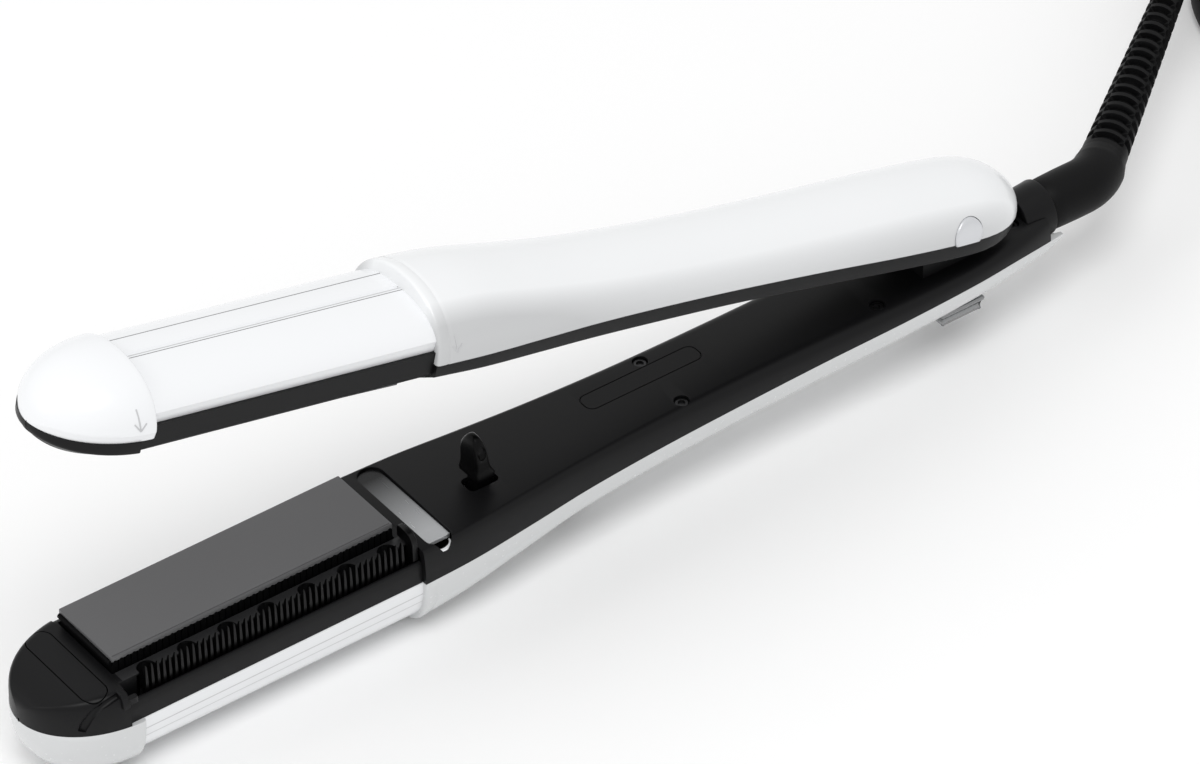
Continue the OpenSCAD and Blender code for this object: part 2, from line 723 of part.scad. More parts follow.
// Dark band below the seam, bevelled in to the inner face
function band_ring(x, b, s, k, i, w) =
    let (f = max(1.6, b - 0.4), e = max(1, b - 6.6))
    let (out = [[b, s], [f, k], [e, i]], inn = [[b - w, s], [f - w, k + 0.3 * w], [e - 0.4, i + w]])
    let (half = concat(out, [for (p = flip(out)) [-p[0], p[1]]]),
        back = concat([for (p = inn) [-p[0], p[1]]], flip(inn)))
    [for (p = concat(half, back)) [x, p[0], p[1]]];
// In the handle the bevel is a step
module upper_inner_cover() {
    xs = [93.1, 110, 130, 150, 175, 200, 230, 260, 285, 293, 299, 303.5, 305];
    inside = [95, 110, 130, 150, 175, 200, 230, 260, 285, 293];
    color("#161616") on_face() opened() difference() {
        union() {
            intersection() {
                linear_extrude(30) polygon(outline(UPPER, xs, 1, 1, 0.4));
                side_slice(concat([for (x = xs) [x, station(UPPER, x, 4)]],
                    [for (x = flip(xs)) [x, station(UPPER, x, 3) - 0.05]]));
            }
            intersection() {
                linear_extrude(30) polygon(outline(UPPER, inside, 1, 1, 6.6));
                side_slice(concat([for (x = inside) [x, station(UPPER, x, 5)]],
                    [for (x = flip(inside)) [x, station(UPPER, x, 4) + 1]]));
            }
        }
        intersection() {
            linear_extrude(30) polygon(outline(UPPER, inside, 1, 1, 2.4));
            side_slice(concat([for (x = inside) [x, station(UPPER, x, 4) + wall]],
                [for (x = flip(inside)) [x, 30]]));
        }
        intersection() {
            linear_extrude(30) polygon(outline(UPPER, inside, 1, 1, 8.6));
            side_slice(concat([for (x = inside) [x, station(UPPER, x, 5) + wall]],
                [for (x = flip(inside)) [x, 30]]));
        }
        block(110, 130, -9.6, 0.6, 4, 18);
        block(264, 296, -9.2, 9.2, 0, 30);
    }
}
module upper_plate_frame() {
    color("#161616") on_face() opened() difference() {
        bar_x(frame_x, ring_x) polygon([
            [-barrel_b + 0.25, up_seam], [-barrel_b + 0.25, up_band], [-12.4, up_inner],
            [17, up_inner], [barrel_b - 0.25, up_band], [barrel_b - 0.25, up_seam],
        ]);
        block(frame_x - 1, ring_x + 1, -16.6, 16.6, 17.6, up_seam + 1);
        block(frame_x - 1, tip_x, -30, 30, tip_seam - 0.1, up_seam + 1);
        block(-2 * gap, plate_l + 2 * gap, plate_shift - plate_w / 2 - gap,
            plate_shift + plate_w / 2 + gap, up_inner - 1, 18);
    }
}
module upper_tip_frame() {
    color("#161616") on_face() opened() mirrored_loft([for (x = flip(frame_steps))
        let (t = tip_scale(x, 2), k = tip_seam - 3.7 * pow(t, 0.4))
        band_ring(x, max(2.6, tip_b * t - 0.25), tip_seam - 0.05, k,
            min(k - 0.6, tip_seam - 11.4 * pow(t, 0.7)), min(wall, 0.6 + t))]);
}
module upper_chassis() {
    color("dimgray") on_face() plated() block(5, 90, -12, 13, up_tray, up_tray + wall);
}
// The upper plate faces down and all but meets the lower one when the arms are closed
up_plate_z = plate_proud + touch;
up_plate_top = 12.8;
up_tray = 19.7;
module upper_plate() {
    half = plate_w / 2;
    color("#3c3c3e") on_face() plated() bar_x(0, plate_l)
        translate([plate_shift, up_plate_z]) polygon([
            [0.8 - half, 0], [half - 0.8, 0], [half, 0.8], [half, up_plate_top - up_plate_z],
            [-half, up_plate_top - up_plate_z], [-half, 0.8],
        ]);
}
module upper_heater() {
    color("#b5651d") on_face() plated() heater_pad(up_plate_top, up_plate_top + 3.5);
}
module upper_plate_springs() {
    color("silver") on_face() plated() plate_springs(up_plate_top + 4.8, up_tray);
}
module upper_wiring() {
    color("firebrick") on_face() opened() {
        for (y = [-3, 0, 3]) translate([60, y, 30.6]) rotate([0, 90, 0]) cylinder(r = 0.8, h = 70);
    }
}

lower_outer_shell();
lower_inner_cover();
lower_barrel();
lower_plate_frame();
lower_tip_cap();
lower_tip_frame();
lower_chassis();
lower_plate();
lower_heater();
lower_plate_springs();
steam_outlet_bar();
steam_chamber();
comb();
heat_strip();
steam_trigger();
trigger_pin();
pump();
pump_plunger();
steam_pipes();
water_tank();
tank_plug();
control_board();
lock_slider();
face_screws();
hinge_bracket();
hinge_spring();
hinge_pin();
hinge_lugs();
hinge_cap_near();
hinge_cap_far();
cord_socket();
swivel_elbow();
cord_boot();
cord();
cord_coil();
cord_tail();
coil_tie();
plug_body();
plug_pins();
upper_outer_shell();
upper_inner_cover();
upper_barrel();
upper_plate_frame();
upper_tip_cap();
upper_tip_frame();
upper_chassis();
upper_plate();
upper_heater();
upper_plate_springs();
upper_wiring();
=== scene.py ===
import math

import bmesh
import bpy
import numpy as np
from mathutils import Matrix, Vector


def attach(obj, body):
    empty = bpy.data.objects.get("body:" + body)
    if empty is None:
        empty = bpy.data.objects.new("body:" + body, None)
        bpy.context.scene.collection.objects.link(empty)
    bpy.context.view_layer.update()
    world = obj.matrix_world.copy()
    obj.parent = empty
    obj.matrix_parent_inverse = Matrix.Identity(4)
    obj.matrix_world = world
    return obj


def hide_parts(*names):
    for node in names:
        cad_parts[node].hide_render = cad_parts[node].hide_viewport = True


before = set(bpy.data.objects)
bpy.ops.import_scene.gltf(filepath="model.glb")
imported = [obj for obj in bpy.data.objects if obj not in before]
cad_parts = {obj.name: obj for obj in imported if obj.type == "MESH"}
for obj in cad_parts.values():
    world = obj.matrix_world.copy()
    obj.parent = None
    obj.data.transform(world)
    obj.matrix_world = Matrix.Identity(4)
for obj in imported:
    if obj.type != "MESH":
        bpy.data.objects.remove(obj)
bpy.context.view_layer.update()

# Lengths are in millimetres until place() turns them into metres. Heights are measured from
# the inner face of the lower arm, which lies FACE above the table.
FACE = 30.0
HINGE_X, HINGE_UP = 280.0, 15.9
OPEN = math.radians(12.58)
CLOSE_MORE = math.radians(1.38)

# Stations of the lower handle: x, half width, depth of the shell under its seam, depth of the
# seam under the face, and half width of the flat face
LOWER = [
    [93, 20.5, 19.8, 11.0, 18.6],
    [110, 20.2, 17.8, 10.5, 17.6],
    [130, 18.6, 14.6, 9.8, 15.4],
    [150, 16.8, 12.2, 9.0, 13.6],
    [175, 15.6, 11.2, 8.2, 11.9],
    [200, 15.2, 10.8, 7.4, 11.0],
    [230, 15.2, 10.8, 6.4, 10.4],
    [260, 15.6, 10.8, 5.5, 10.2],
    [285, 15.0, 10.0, 5.0, 9.8],
    [300, 13.4, 8.6, 5.2, 9.0],
    [312, 11.0, 6.3, 6.6, 7.4],
    [320, 8.4, 3.3, 8.4, 4.6],
]
# Stations of the upper handle: x, half width, rise of the shell over its seam, seam, lower edge
# of the straight band, and inner face
UPPER = [
    [93, 20.5, 17.0, 20.9, 17.2, 12.9],
    [110, 20.2, 17.0, 20.4, 16.2, 11.8],
    [130, 18.6, 15.2, 19.5, 15.0, 10.7],
    [150, 16.8, 13.8, 18.5, 13.7, 9.8],
    [175, 15.6, 13.2, 17.3, 12.4, 9.0],
    [200, 15.2, 13.0, 16.2, 11.4, 8.2],
    [230, 15.4, 13.5, 14.8, 10.0, 7.0],
    [260, 16.2, 14.1, 13.5, 8.8, 6.0],
    [285, 16.2, 13.6, 12.8, 8.0, 5.6],
    [293, 15.2, 12.6, 12.8, 8.6, 6.6],
    [299, 12.8, 10.6, 12.9, 9.8, 8.4],
    [303.5, 9.0, 7.4, 13.0, 10.8, 9.8],
    [306, 4.8, 4.0, 13.0, 11.4, 10.8],
]
# Powers of the superellipse sections of the two arms
LOWER_N, UPPER_N = 2.6, 2.2
# Tips: rear end, length and half width, then the depth of the lower cap and the seam and rise of the upper
TIP_X, TIP_L, TIP_B = 3.4, 27.0, 20.3
CAP_DOME, UP_TIP_SEAM, UP_TIP_DOME = 19.8, 20.9, 15.6
# Half barrels: half width, seam and depth of the lower one, seam and rise of the upper one
BARREL_B = 19.0
LOW_SEAM, LOW_DOME = 11.0, 18.0
UP_SEAM, UP_DOME = 24.3, 9.2
# Dark band of the upper arm along the plate: lower edge and inner face
UP_BAND, UP_INNER = 17.5, 13.3
# Front of the handle's ring, and front of the dark frame round a plate
RING_X, FRAME_X = 93.0, -1.0
# Heated plates: length, width, middle across the arm, and height of the lower one over the face
PLATE_L, PLATE_W, PLATE_Y, PROUD = 90.0, 25.0, 2.7, 4.9
# Wall of a casing at its sides and in its depth, and the steps along its section
WALL = (2.0, 2.0)
ARC = 64
# Hinge caps: height of the middle, radius, radius of the holes, and how far under it the flat foot lies
BUTTON_Z, BUTTON_R, BUTTON_HOLE, BUTTON_FLAT = HINGE_UP - 0.6, 4.9, 5.1, 2.6
# Openings in the lower handle's face: front, rear, near side and far side
STRIP_SLOT = (96, 104, -18.2, 18.2)
STRIP_SLOT_END = (96, 104, -19.9, -8)
TRIGGER_SLOT = (117.6, 127.2, -7.4, -1.4)
BRACKET_SLOT = (270, 290, -8.6, 8.6)
SLOT_R = 3.95
# Oval outline in the lower handle's face, and one in its tip
INLAY = (163, 202, 0.7, 7.5)
TIP_INLAY = (-12, -4, -16.4, 16.4)
SCREWS = ((186.5, 9.8), (185.5, -10.4), (253, -9.8), (304.5, -4.2))
# Comb and steam outlets: front and rear of their strips, first tooth, run of the teeth, then counts of
# teeth, of scallops in the plate's edge and of niches in the ledge
COMB_FRONT, COMB_REAR, TOOTH_X, TOOTH_RUN = 4.6, 91.8, 6.45, 84
TEETH, SCALLOPS, NICHES = 45, 45, 7
# Levels of a cut through the face
THROUGH = [(-14, 0), (2, 0)]
# Elbow and boot: height of their middle, then the corner, radius and angle of the bend in part.scad,
# which place the cord's exit. BOOT_X is the corner that the photograph shows. The boot's start and
# end are distances from the corner.
CORD_Z, BEND_X, BEND_R, BEND_A = -3.0, 340.0, 16.0, math.radians(38)
BOOT_START, BOOT_END, BOOT_X = 9.0, 88.0, 337.6
# Three fine lines of painted shade on the upper barrel and two on the lower, for the shade of their
# grooves and steps: place across it and width
UPPER_SHADE_LINES = ((-1.1, 0.22), (-0.2, 0.34), (8.8, 0.3))
LOWER_SHADE_LINES = ((-18.86, 0.03), (-18.4, 0.06))


def station(tab, x, c):
    """Smooth value of column c of a station table at x."""
    i = 0
    while i < len(tab) - 2 and x >= tab[i + 1][0]:
        i += 1

    def slope(k):
        a, b = max(0, k - 1), min(len(tab) - 1, k + 1)
        return (tab[b][c] - tab[a][c]) / (tab[b][0] - tab[a][0])

    w = tab[i + 1][0] - tab[i][0]
    t = (x - tab[i][0]) / w
    return (
        (2 * t**3 - 3 * t**2 + 1) * tab[i][c]
        + (t**3 - 2 * t**2 + t) * w * slope(i)
        + (3 * t**2 - 2 * t**3) * tab[i + 1][c]
        + (t**3 - t**2) * w * slope(i + 1)
    )


def dome(b, c, n, k):
    """Half superellipse from +b over c to -b, its points close together near the seam."""
    a = np.linspace(0, math.pi, k + 1)
    y = b * np.sign(np.cos(a)) * np.abs(np.cos(a)) ** (2 / n)
    z = c * np.abs(np.sin(a)) ** (2 / n)
    return np.column_stack([y, z])


def place(points, arm):
    """Points in millimetres on an arm, turned into metres in the shared frame."""
    v = np.array(points, dtype=float)
    if arm in ("upper", "plate"):
        turn = OPEN if arm == "upper" else OPEN + CLOSE_MORE
        x, z = v[:, 0] - HINGE_X, v[:, 2] - HINGE_UP
        c, s = math.cos(turn), math.sin(turn)
        v[:, 0], v[:, 2] = HINGE_X + x * c + z * s, HINGE_UP - x * s + z * c
    if arm != "table":
        v[:, 2] += FACE
    return v * 0.001


# Materials
def material(name, colour, rough, metal=0.0, spec=0.5, grain=900.0, bump=0.05, vary=0.06,
             coat=0.0, streak=None, painted_shade=None, both_sides=False):
    """Procedural material. Its painted shade argument gives the darkest share of the colour, and the two
    places in metres across the object between which it falls to that."""
    mat = bpy.data.materials.new(name)
    mat.use_nodes = True
    nodes, links = mat.node_tree.nodes, mat.node_tree.links
    shader = nodes["Principled BSDF"]
    shader.inputs["Metallic"].default_value = metal
    shader.inputs["Specular IOR Level"].default_value = spec
    shader.inputs["Coat Weight"].default_value = coat
    shader.inputs["Coat Roughness"].default_value = 0.12
    where = nodes.new("ShaderNodeTexCoord")
    scale = nodes.new("ShaderNodeMapping")
    scale.inputs["Scale"].default_value = streak or (1, 1, 1)
    links.new(where.outputs["Object"], scale.inputs["Vector"])
    noise = nodes.new("ShaderNodeTexNoise")
    noise.inputs["Scale"].default_value = grain
    noise.inputs["Detail"].default_value = 4.0
    links.new(scale.outputs["Vector"], noise.inputs["Vector"])
    broad = nodes.new("ShaderNodeTexNoise")
    broad.inputs["Scale"].default_value = 14.0
    broad.inputs["Detail"].default_value = 2.0
    links.new(where.outputs["Object"], broad.inputs["Vector"])
    tint = nodes.new("ShaderNodeMix")
    tint.data_type = "RGBA"
    tint.inputs["A"].default_value = (*[v * (1 - vary) for v in colour], 1)
    tint.inputs["B"].default_value = (*[min(1.0, v * (1 + vary)) for v in colour], 1)
    links.new(broad.outputs["Fac"], tint.inputs["Factor"])
    paint = tint.outputs["Result"]
    # Painted shade: the colour darkens across the object to the given share
    if painted_shade:
        parts = nodes.new("ShaderNodeSeparateXYZ")
        links.new(where.outputs["Object"], parts.inputs["Vector"])
        across = nodes.new("ShaderNodeMapRange")
        across.inputs["From Min"].default_value = painted_shade[1]
        across.inputs["From Max"].default_value = painted_shade[2]
        if both_sides:
            size = nodes.new("ShaderNodeMath")
            size.operation = "ABSOLUTE"
            links.new(parts.outputs["Y"], size.inputs[0])
            links.new(size.outputs["Value"], across.inputs["Value"])
        else:
            links.new(parts.outputs["Y"], across.inputs["Value"])
        darker = nodes.new("ShaderNodeMix")
        darker.data_type = "RGBA"
        darker.inputs["B"].default_value = (*[v * painted_shade[0] for v in colour], 1)
        links.new(across.outputs["Result"], darker.inputs["Factor"])
        links.new(paint, darker.inputs["A"])
        paint = darker.outputs["Result"]
    links.new(paint, shader.inputs["Base Color"])
    spread = nodes.new("ShaderNodeMapRange")
    spread.inputs["To Min"].default_value = rough * 0.85
    spread.inputs["To Max"].default_value = min(1.0, rough * 1.15)
    links.new(noise.outputs["Fac"], spread.inputs["Value"])
    links.new(spread.outputs["Result"], shader.inputs["Roughness"])
    rise = nodes.new("ShaderNodeBump")
    rise.inputs["Strength"].default_value = bump
    rise.inputs["Distance"].default_value = 0.00004
    links.new(noise.outputs["Fac"], rise.inputs["Height"])
    links.new(rise.outputs["Normal"], shader.inputs["Normal"])
    return mat


WHITE = material("white_casing", (0.85, 0.86, 0.875), 0.24, spec=0.5, vary=0.012, coat=0.2, bump=0.02)
# Upper handle's white, with painted shade that darkens it to 66 % towards its near and far sides
SHADED_HANDLE = material("white_handle_shaded", (0.84, 0.85, 0.86), 0.24, spec=0.5, vary=0.012, coat=0.2, bump=0.02,
                  painted_shade=(0.66, 0.0118, 0.0172), both_sides=True)
# Darker copy of the white casing for the lower arm: painted shade, as that arm lies in shade
SHADED_WHITE = material("white_underside_shaded", (0.66, 0.67, 0.675), 0.26, spec=0.45, vary=0.012, coat=0.15,
                       bump=0.02)
BLACK = material("black_plastic", (0.0055, 0.0055, 0.006), 0.38, spec=0.17, vary=0.12, bump=0.1)
# Darker, duller copy of the black plastic: painted shade for the plate's carrier and scalloped edge and
# the outlet bar's niches
SHADED_BLACK = material("black_shaded", (0.0015, 0.0015, 0.0017), 0.55, spec=0.06, vary=0.2)
# Lighter copy of the black plastic: painted light for the ledge, which lies in shade between the plate and
# the teeth
LIT_BLACK = material("black_lit", (0.022, 0.022, 0.023), 0.4, spec=0.3, vary=0.1, bump=0.1)
TOOTH = material("tooth_plastic", (0.002, 0.002, 0.0022), 0.3, spec=0.22, vary=0.1)
FINGER = material("finger_plastic", (0.0018, 0.0018, 0.002), 0.34, spec=0.12, vary=0.1)
# Dark grey painted shade for the fine lines that stand for the barrels' grooves and steps
GROOVE_SHADE = material("groove_shade_line", (0.22, 0.22, 0.225), 0.5, vary=0.03)
PLATE = material("plate_coating", (0.125, 0.125, 0.128), 0.34, metal=0.35, spec=0.4, vary=0.02,
                 streak=(0.12, 1, 1), bump=0.02)
# Strip metal with painted shade: it darkens to 5 % of its colour from its near end towards its far end
STRIP = material("strip_metal", (0.50, 0.51, 0.52), 0.26, metal=0.6, vary=0.04, streak=(1, 0.08, 1),
                 bump=0.006, painted_shade=(0.05, -0.012, 0.014))
STEEL = material("steel", (0.46, 0.46, 0.47), 0.3, metal=1.0, vary=0.08)
SCREW = material("dark_screw", (0.05, 0.05, 0.052), 0.3, metal=0.9, vary=0.15)
RUBBER = material("rubber", (0.0035, 0.0035, 0.0038), 0.5, spec=0.13, vary=0.15, bump=0.25, grain=1500)
LATCH = material("latch_metal", (0.30, 0.305, 0.31), 0.2, metal=1.0, vary=0.04, streak=(1, 0.1, 1))
SATIN = material("cap_satin", (0.66, 0.67, 0.69), 0.3, metal=0.35, vary=0.03)
ALLOY = material("cast_aluminium", (0.5, 0.5, 0.51), 0.42, metal=0.9, vary=0.08, bump=0.3)
INNER = material("inner_plastic", (0.06, 0.06, 0.065), 0.5, vary=0.12, bump=0.15)
FILM = material("heater_film", (0.35, 0.13, 0.03), 0.45, vary=0.15)
TANK = material("clear_tank", (0.42, 0.5, 0.56), 0.15, vary=0.05)
BOARD = material("board", (0.02, 0.12, 0.05), 0.4, vary=0.3)
WIRE = material("wire_red", (0.35, 0.03, 0.02), 0.4, vary=0.15)
# Grey of the printed arrows, also used as painted shade for some of the barrels' fine lines
PRINT_AND_SHADE = material("print_and_shade_grey", (0.55, 0.555, 0.565), 0.4, vary=0.03)


# Mesh tools
def mesh(name, verts, faces, mats, arm="lower", sharp=30):
    """New object from points in millimetres, smooth except at edges sharper than the angle."""
    data = bpy.data.meshes.new(name)
    data.from_pydata(place(verts, arm).tolist(), [], faces)
    for mat in mats:
        data.materials.append(mat)
    build = bmesh.new()
    build.from_mesh(data)
    bmesh.ops.recalc_face_normals(build, faces=build.faces)
    build.to_mesh(data)
    build.free()
    obj = bpy.data.objects.new(name, data)
    bpy.context.scene.collection.objects.link(obj)
    soften(obj, sharp)
    return obj


def soften(obj, sharp):
    """Smooth faces, with hard edges where they meet at more than the angle."""
    data = obj.data
    data.polygons.foreach_set("use_smooth", [True] * len(data.polygons))
    data.set_sharp_from_angle(angle=math.radians(sharp))


def strip(m, n):
    """Faces between m rings of n points each."""
    return [
        (i * n + j, i * n + (j + 1) % n, (i + 1) * n + (j + 1) % n, (i + 1) * n + j)
        for i in range(m - 1)
        for j in range(n)
    ]


def loft(rings):
    """Rings of equal length whose second half runs back along their first half."""
    m, n = len(rings), len(rings[0])
    faces = strip(m, n)
    for base in (0, (m - 1) * n):
        faces += [(base + j, base + j + 1, base + n - 2 - j, base + n - 1 - j) for j in range(n // 2 - 1)]
    return np.concatenate(rings), faces


def tube(rings):
    """Rings closed by one round face at each end."""
    m, n = len(rings), len(rings[0])
    return np.concatenate(rings), strip(m, n) + [tuple(range(n)), tuple(range((m - 1) * n, m * n))]


def closed(rings):
    """Rings joined one to the next, and the last one back to the first."""
    m, n = len(rings), len(rings[0])
    last = (m - 1) * n
    seam = [(last + j, last + (j + 1) % n, (j + 1) % n, j) for j in range(n)]
    return np.concatenate(rings), strip(m, n) + seam


def join(shapes):
    """One mesh from several closed shapes."""
    verts, faces, base = [], [], 0
    for v, f in shapes:
        verts.append(v)
        faces += [tuple(base + q for q in face) for face in f]
        base += len(v)
    return np.concatenate(verts), faces


def slice_at(outline, level, axis="x"):
    """Flat outline set at a level of an axis."""
    u, v, col = outline[:, 0], outline[:, 1], np.full(len(outline), float(level))
    return np.column_stack({"x": (col, u, v), "y": (u, col, v), "z": (u, v, col)}[axis])


def prism(outline, levels, axis="z"):
    """Stack of copies of an outline, each at a level and drawn in by a margin."""
    return tube([slice_at(inset(outline, margin), level, axis) for level, margin in levels])


def mirror(half):
    """Half section, then its mirror image in y back to the start."""
    return np.vstack([half, half[::-1] * [-1, 1]])


def inset(outline, margin):
    """Outline drawn in by a margin."""
    p = np.array(outline, dtype=float)
    if abs(margin) < 1e-9:
        return p
    area = np.sum(p[:, 0] * np.roll(p[:, 1], -1) - np.roll(p[:, 0], -1) * p[:, 1])
    turn = 1.0 if area > 0 else -1.0
    back, ahead = p - np.roll(p, 1, axis=0), np.roll(p, -1, axis=0) - p
    back /= np.linalg.norm(back, axis=1)[:, None]
    ahead /= np.linalg.norm(ahead, axis=1)[:, None]
    n0 = np.column_stack([-back[:, 1], back[:, 0]]) * turn
    n1 = np.column_stack([-ahead[:, 1], ahead[:, 0]]) * turn
    mid = n0 + n1
    mid /= np.maximum(0.3, np.sum(mid * mid, axis=1) / 2)[:, None]
    return p + mid * margin


def rounded(x0, x1, y0, y1, r, k=8):
    """Rectangle with round corners."""
    pts = []
    corners = ((x1 - r, y1 - r, 0), (x0 + r, y1 - r, 90), (x0 + r, y0 + r, 180), (x1 - r, y0 + r, 270))
    for cx, cy, a0 in corners:
        for i in range(k + 1):
            a = math.radians(a0 + 90 * i / k)
            pts.append((cx + r * math.cos(a), cy + r * math.sin(a)))
    return np.array(pts)


def circle(k):
    """k angles round a circle."""
    return np.linspace(0, 2 * math.pi, k, endpoint=False)


def disc(cx, cy, r, k=40, high=None):
    """Circle of k points, or an ellipse where it has a half height of its own."""
    a = circle(k)
    return np.column_stack([cx + r * np.cos(a), cy + (high or r) * np.sin(a)])


def band(outline, width, z0, z1):
    """Ring-shaped cutter that leaves a fine groove along an outline."""
    a, b = inset(outline, 0), inset(outline, width)
    return closed([slice_at(p, z, "z") for p, z in ((a, z0), (a, z1), (b, z1), (b, z0))])


def bake(obj):
    """Applies the modifiers of an object."""
    graph = bpy.context.evaluated_depsgraph_get()
    new = bpy.data.meshes.new_from_object(obj.evaluated_get(graph))
    old = obj.data
    obj.modifiers.clear()
    obj.data = new
    bpy.data.meshes.remove(old)


def round_edges(obj, width):
    """Rounds every edge at which faces meet at more than 35 degrees."""
    mod = obj.modifiers.new("edges", "BEVEL")
    mod.width = width * 0.001
    mod.segments = 3
    mod.limit_method = "ANGLE"
    mod.angle_limit = math.radians(35)
    bake(obj)
    soften(obj, 60)


def cut(obj, shapes, arm="lower", sharp=30, how="DIFFERENCE"):
    """Takes closed shapes out of an object, or adds them to it."""
    tools = []
    for verts, faces in shapes:
        tool = mesh("tool", verts, faces, [], arm)
        mod = obj.modifiers.new("cut", "BOOLEAN")
        mod.operation = how
        mod.solver = "EXACT"
        mod.object = tool
        tools.append(tool)
    bake(obj)
    for tool in tools:
        data = tool.data
        bpy.data.objects.remove(tool)
        bpy.data.meshes.remove(data)
    soften(obj, sharp)


def finish_piece(obj, body, nodes):
    """Rides a piece on a body in place of CAD nodes."""
    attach(obj, body)
    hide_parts(*nodes)


def pipe(points, radii, k):
    """Rings of k points round a line of points, with a radius at each."""
    p = np.array(points, dtype=float)
    t = np.gradient(p, axis=0)
    t /= np.linalg.norm(t, axis=1)[:, None]
    s = np.cross(t, np.array([0.0, 0.0, 1.0]))
    s /= np.linalg.norm(s, axis=1)[:, None]
    u = np.cross(s, t)
    a = circle(k)
    return [
        p[i] + radii[i] * (np.cos(a)[:, None] * s[i] + np.sin(a)[:, None] * u[i])
        for i in range(len(p))
    ]


# Casing shells
def edge_band(b, c, n, k, high, lean):
    """Half section whose lowest strip leans in below a crease."""
    low = math.asin((high / c) ** (n / 2))
    a = np.linspace(low, math.pi - low, k + 1)
    y = b * np.sign(np.cos(a)) * np.abs(np.cos(a)) ** (2 / n)
    arc = np.column_stack([y, c * np.abs(np.sin(a)) ** (2 / n)])
    foot = y[0] - lean
    rise = np.array([(foot, 0), (foot + lean * 0.5, high * 0.5), (y[0] - 0.05, high - 0.12)])
    return np.vstack([rise, arc, rise[::-1] * [-1, 1]])


def half_shell(x, b, c, n, s, side, w, roll=0.0, strip_high=0.0):
    """Section of a casing: its outside, then back along its inside."""
    if strip_high:
        out = edge_band(b - roll, c - roll, n, ARC, min(strip_high, c * 0.3), 0.55)
    else:
        out = dome(b - roll, c - roll, n, ARC)
        foot = out[0][0]
        out = np.vstack([[foot - 0.15, 0], [foot, 0.25], out[1:-1], [-foot, 0.25], [0.15 - foot, 0]])
    back = dome(max(0.3, b - w[0]), max(0.3, c - w[1]), n, len(out) - 1)[::-1]
    ring = np.vstack([out, back])
    ring[:, 1] = np.maximum(-FACE, s + side * ring[:, 1])
    return slice_at(ring, x)


# How far a rim, and the groove behind the ring, are drawn in at each distance from the end
ROLL = [(0.0, 0.9), (0.12, 0.5), (0.35, 0.22), (0.7, 0.06), (1.1, 0.0)]
RING_GROOVE = [(3.2, 0.0), (3.5, 0.14), (3.8, 0.14), (4.1, 0.0)]


def handle_shell(tab, n, side, last_xs, front):
    """Handle casing up to its last stations. Its raised ring has a wall as deep as front."""
    rings = [(RING_X + d, roll, front) for d, roll in ROLL]
    rings += [(RING_X + d, roll, front) for d, roll in RING_GROOVE]
    rings += [(x, 0.0, WALL) for x in list(np.linspace(98, last_xs[0], 84)) + list(last_xs[1:])]
    out = []
    for x, roll, w in rings:
        b, c, s = (station(tab, x, i) for i in (1, 2, 3))
        wall = (min(w[0], b - 0.4), min(w[1], c - 0.4))
        out.append(half_shell(x, b, c, n, s * side, side, wall, roll=roll))
    return loft(out)


def tip_rings(n, s, side, depth, back, strip_high):
    """Cap over the tip, from its rim forward."""
    out = []
    for d, roll in ROLL:
        x = TIP_X - d
        t = math.sqrt(1 - ((TIP_X - x) / TIP_L) ** 2)
        u = (1 - ((TIP_X - x) / TIP_L) ** n) ** (1 / n)
        out.append(half_shell(x, TIP_B * t, depth * u, n, s, side, back, roll=roll, strip_high=strip_high))
    for a in np.linspace(5, 89, 48):
        x = TIP_X - TIP_L * math.sin(math.radians(a))
        t = math.cos(math.radians(a))
        u = max(0.0, 1 - ((TIP_X - x) / TIP_L) ** n) ** (1 / n)
        b, c = TIP_B * t, depth * u
        wall = (min(WALL[0], 0.75 * b), min(WALL[1], 0.75 * c))
        out.append(half_shell(x, b, c, n, s, side, wall, strip_high=strip_high))
    return loft(out)


# Shells of the two handles
lower_ends = (305, 309, 312, 315, 318, 320)
lower_shell = mesh("lower_shell", *handle_shell(LOWER, LOWER_N, -1, lower_ends, WALL), [SHADED_WHITE])
cord_way = tube([slice_at(disc(0, CORD_Z, r, 48), x) for x, r in ((307.9, 7.9), (324, 9.2))])
# Ways for the cord, the lock's stem and the fill plug
cut(lower_shell, [
    cord_way,
    prism(rounded(275.7, 288.3, -3.3, 3.3, 0.6), [(-26, 0), (-9, 0)]),
    prism(disc(150, 0, 4.1), [(-26, 0), (-12, 0)]),
])
finish_piece(lower_shell, "lower_arm", ["lower_outer_shell"])

upper_ends = (288, 291, 294, 297, 299, 301, 302.6, 304, 305.2, 306)
upper_rings = handle_shell(UPPER, UPPER_N, 1, upper_ends, (2.1, 4.6))
upper_shell = mesh("upper_shell", *upper_rings, [SHADED_HANDLE], "upper")
button_hole = disc(HINGE_X, BUTTON_Z, BUTTON_HOLE, 64)
cut(upper_shell, [prism(button_hole, [(y, 0), (y + 10, 0)], "y") for y in (-22, 12)], "upper")
finish_piece(upper_shell, "upper_arm", ["upper_outer_shell"])

# Tip caps
lower_cap = mesh("lower_cap", *tip_rings(LOWER_N, -LOW_SEAM, -1, CAP_DOME, WALL, 0.0), [SHADED_WHITE])
finish_piece(lower_cap, "lower_arm", ["lower_tip_cap"])
cap_rings = tip_rings(UPPER_N, UP_TIP_SEAM, 1, UP_TIP_DOME, (2.0, 3.4), 2.2)
upper_cap = mesh("upper_cap", *cap_rings, [WHITE], "upper")
finish_piece(upper_cap, "upper_arm", ["upper_tip_cap"])


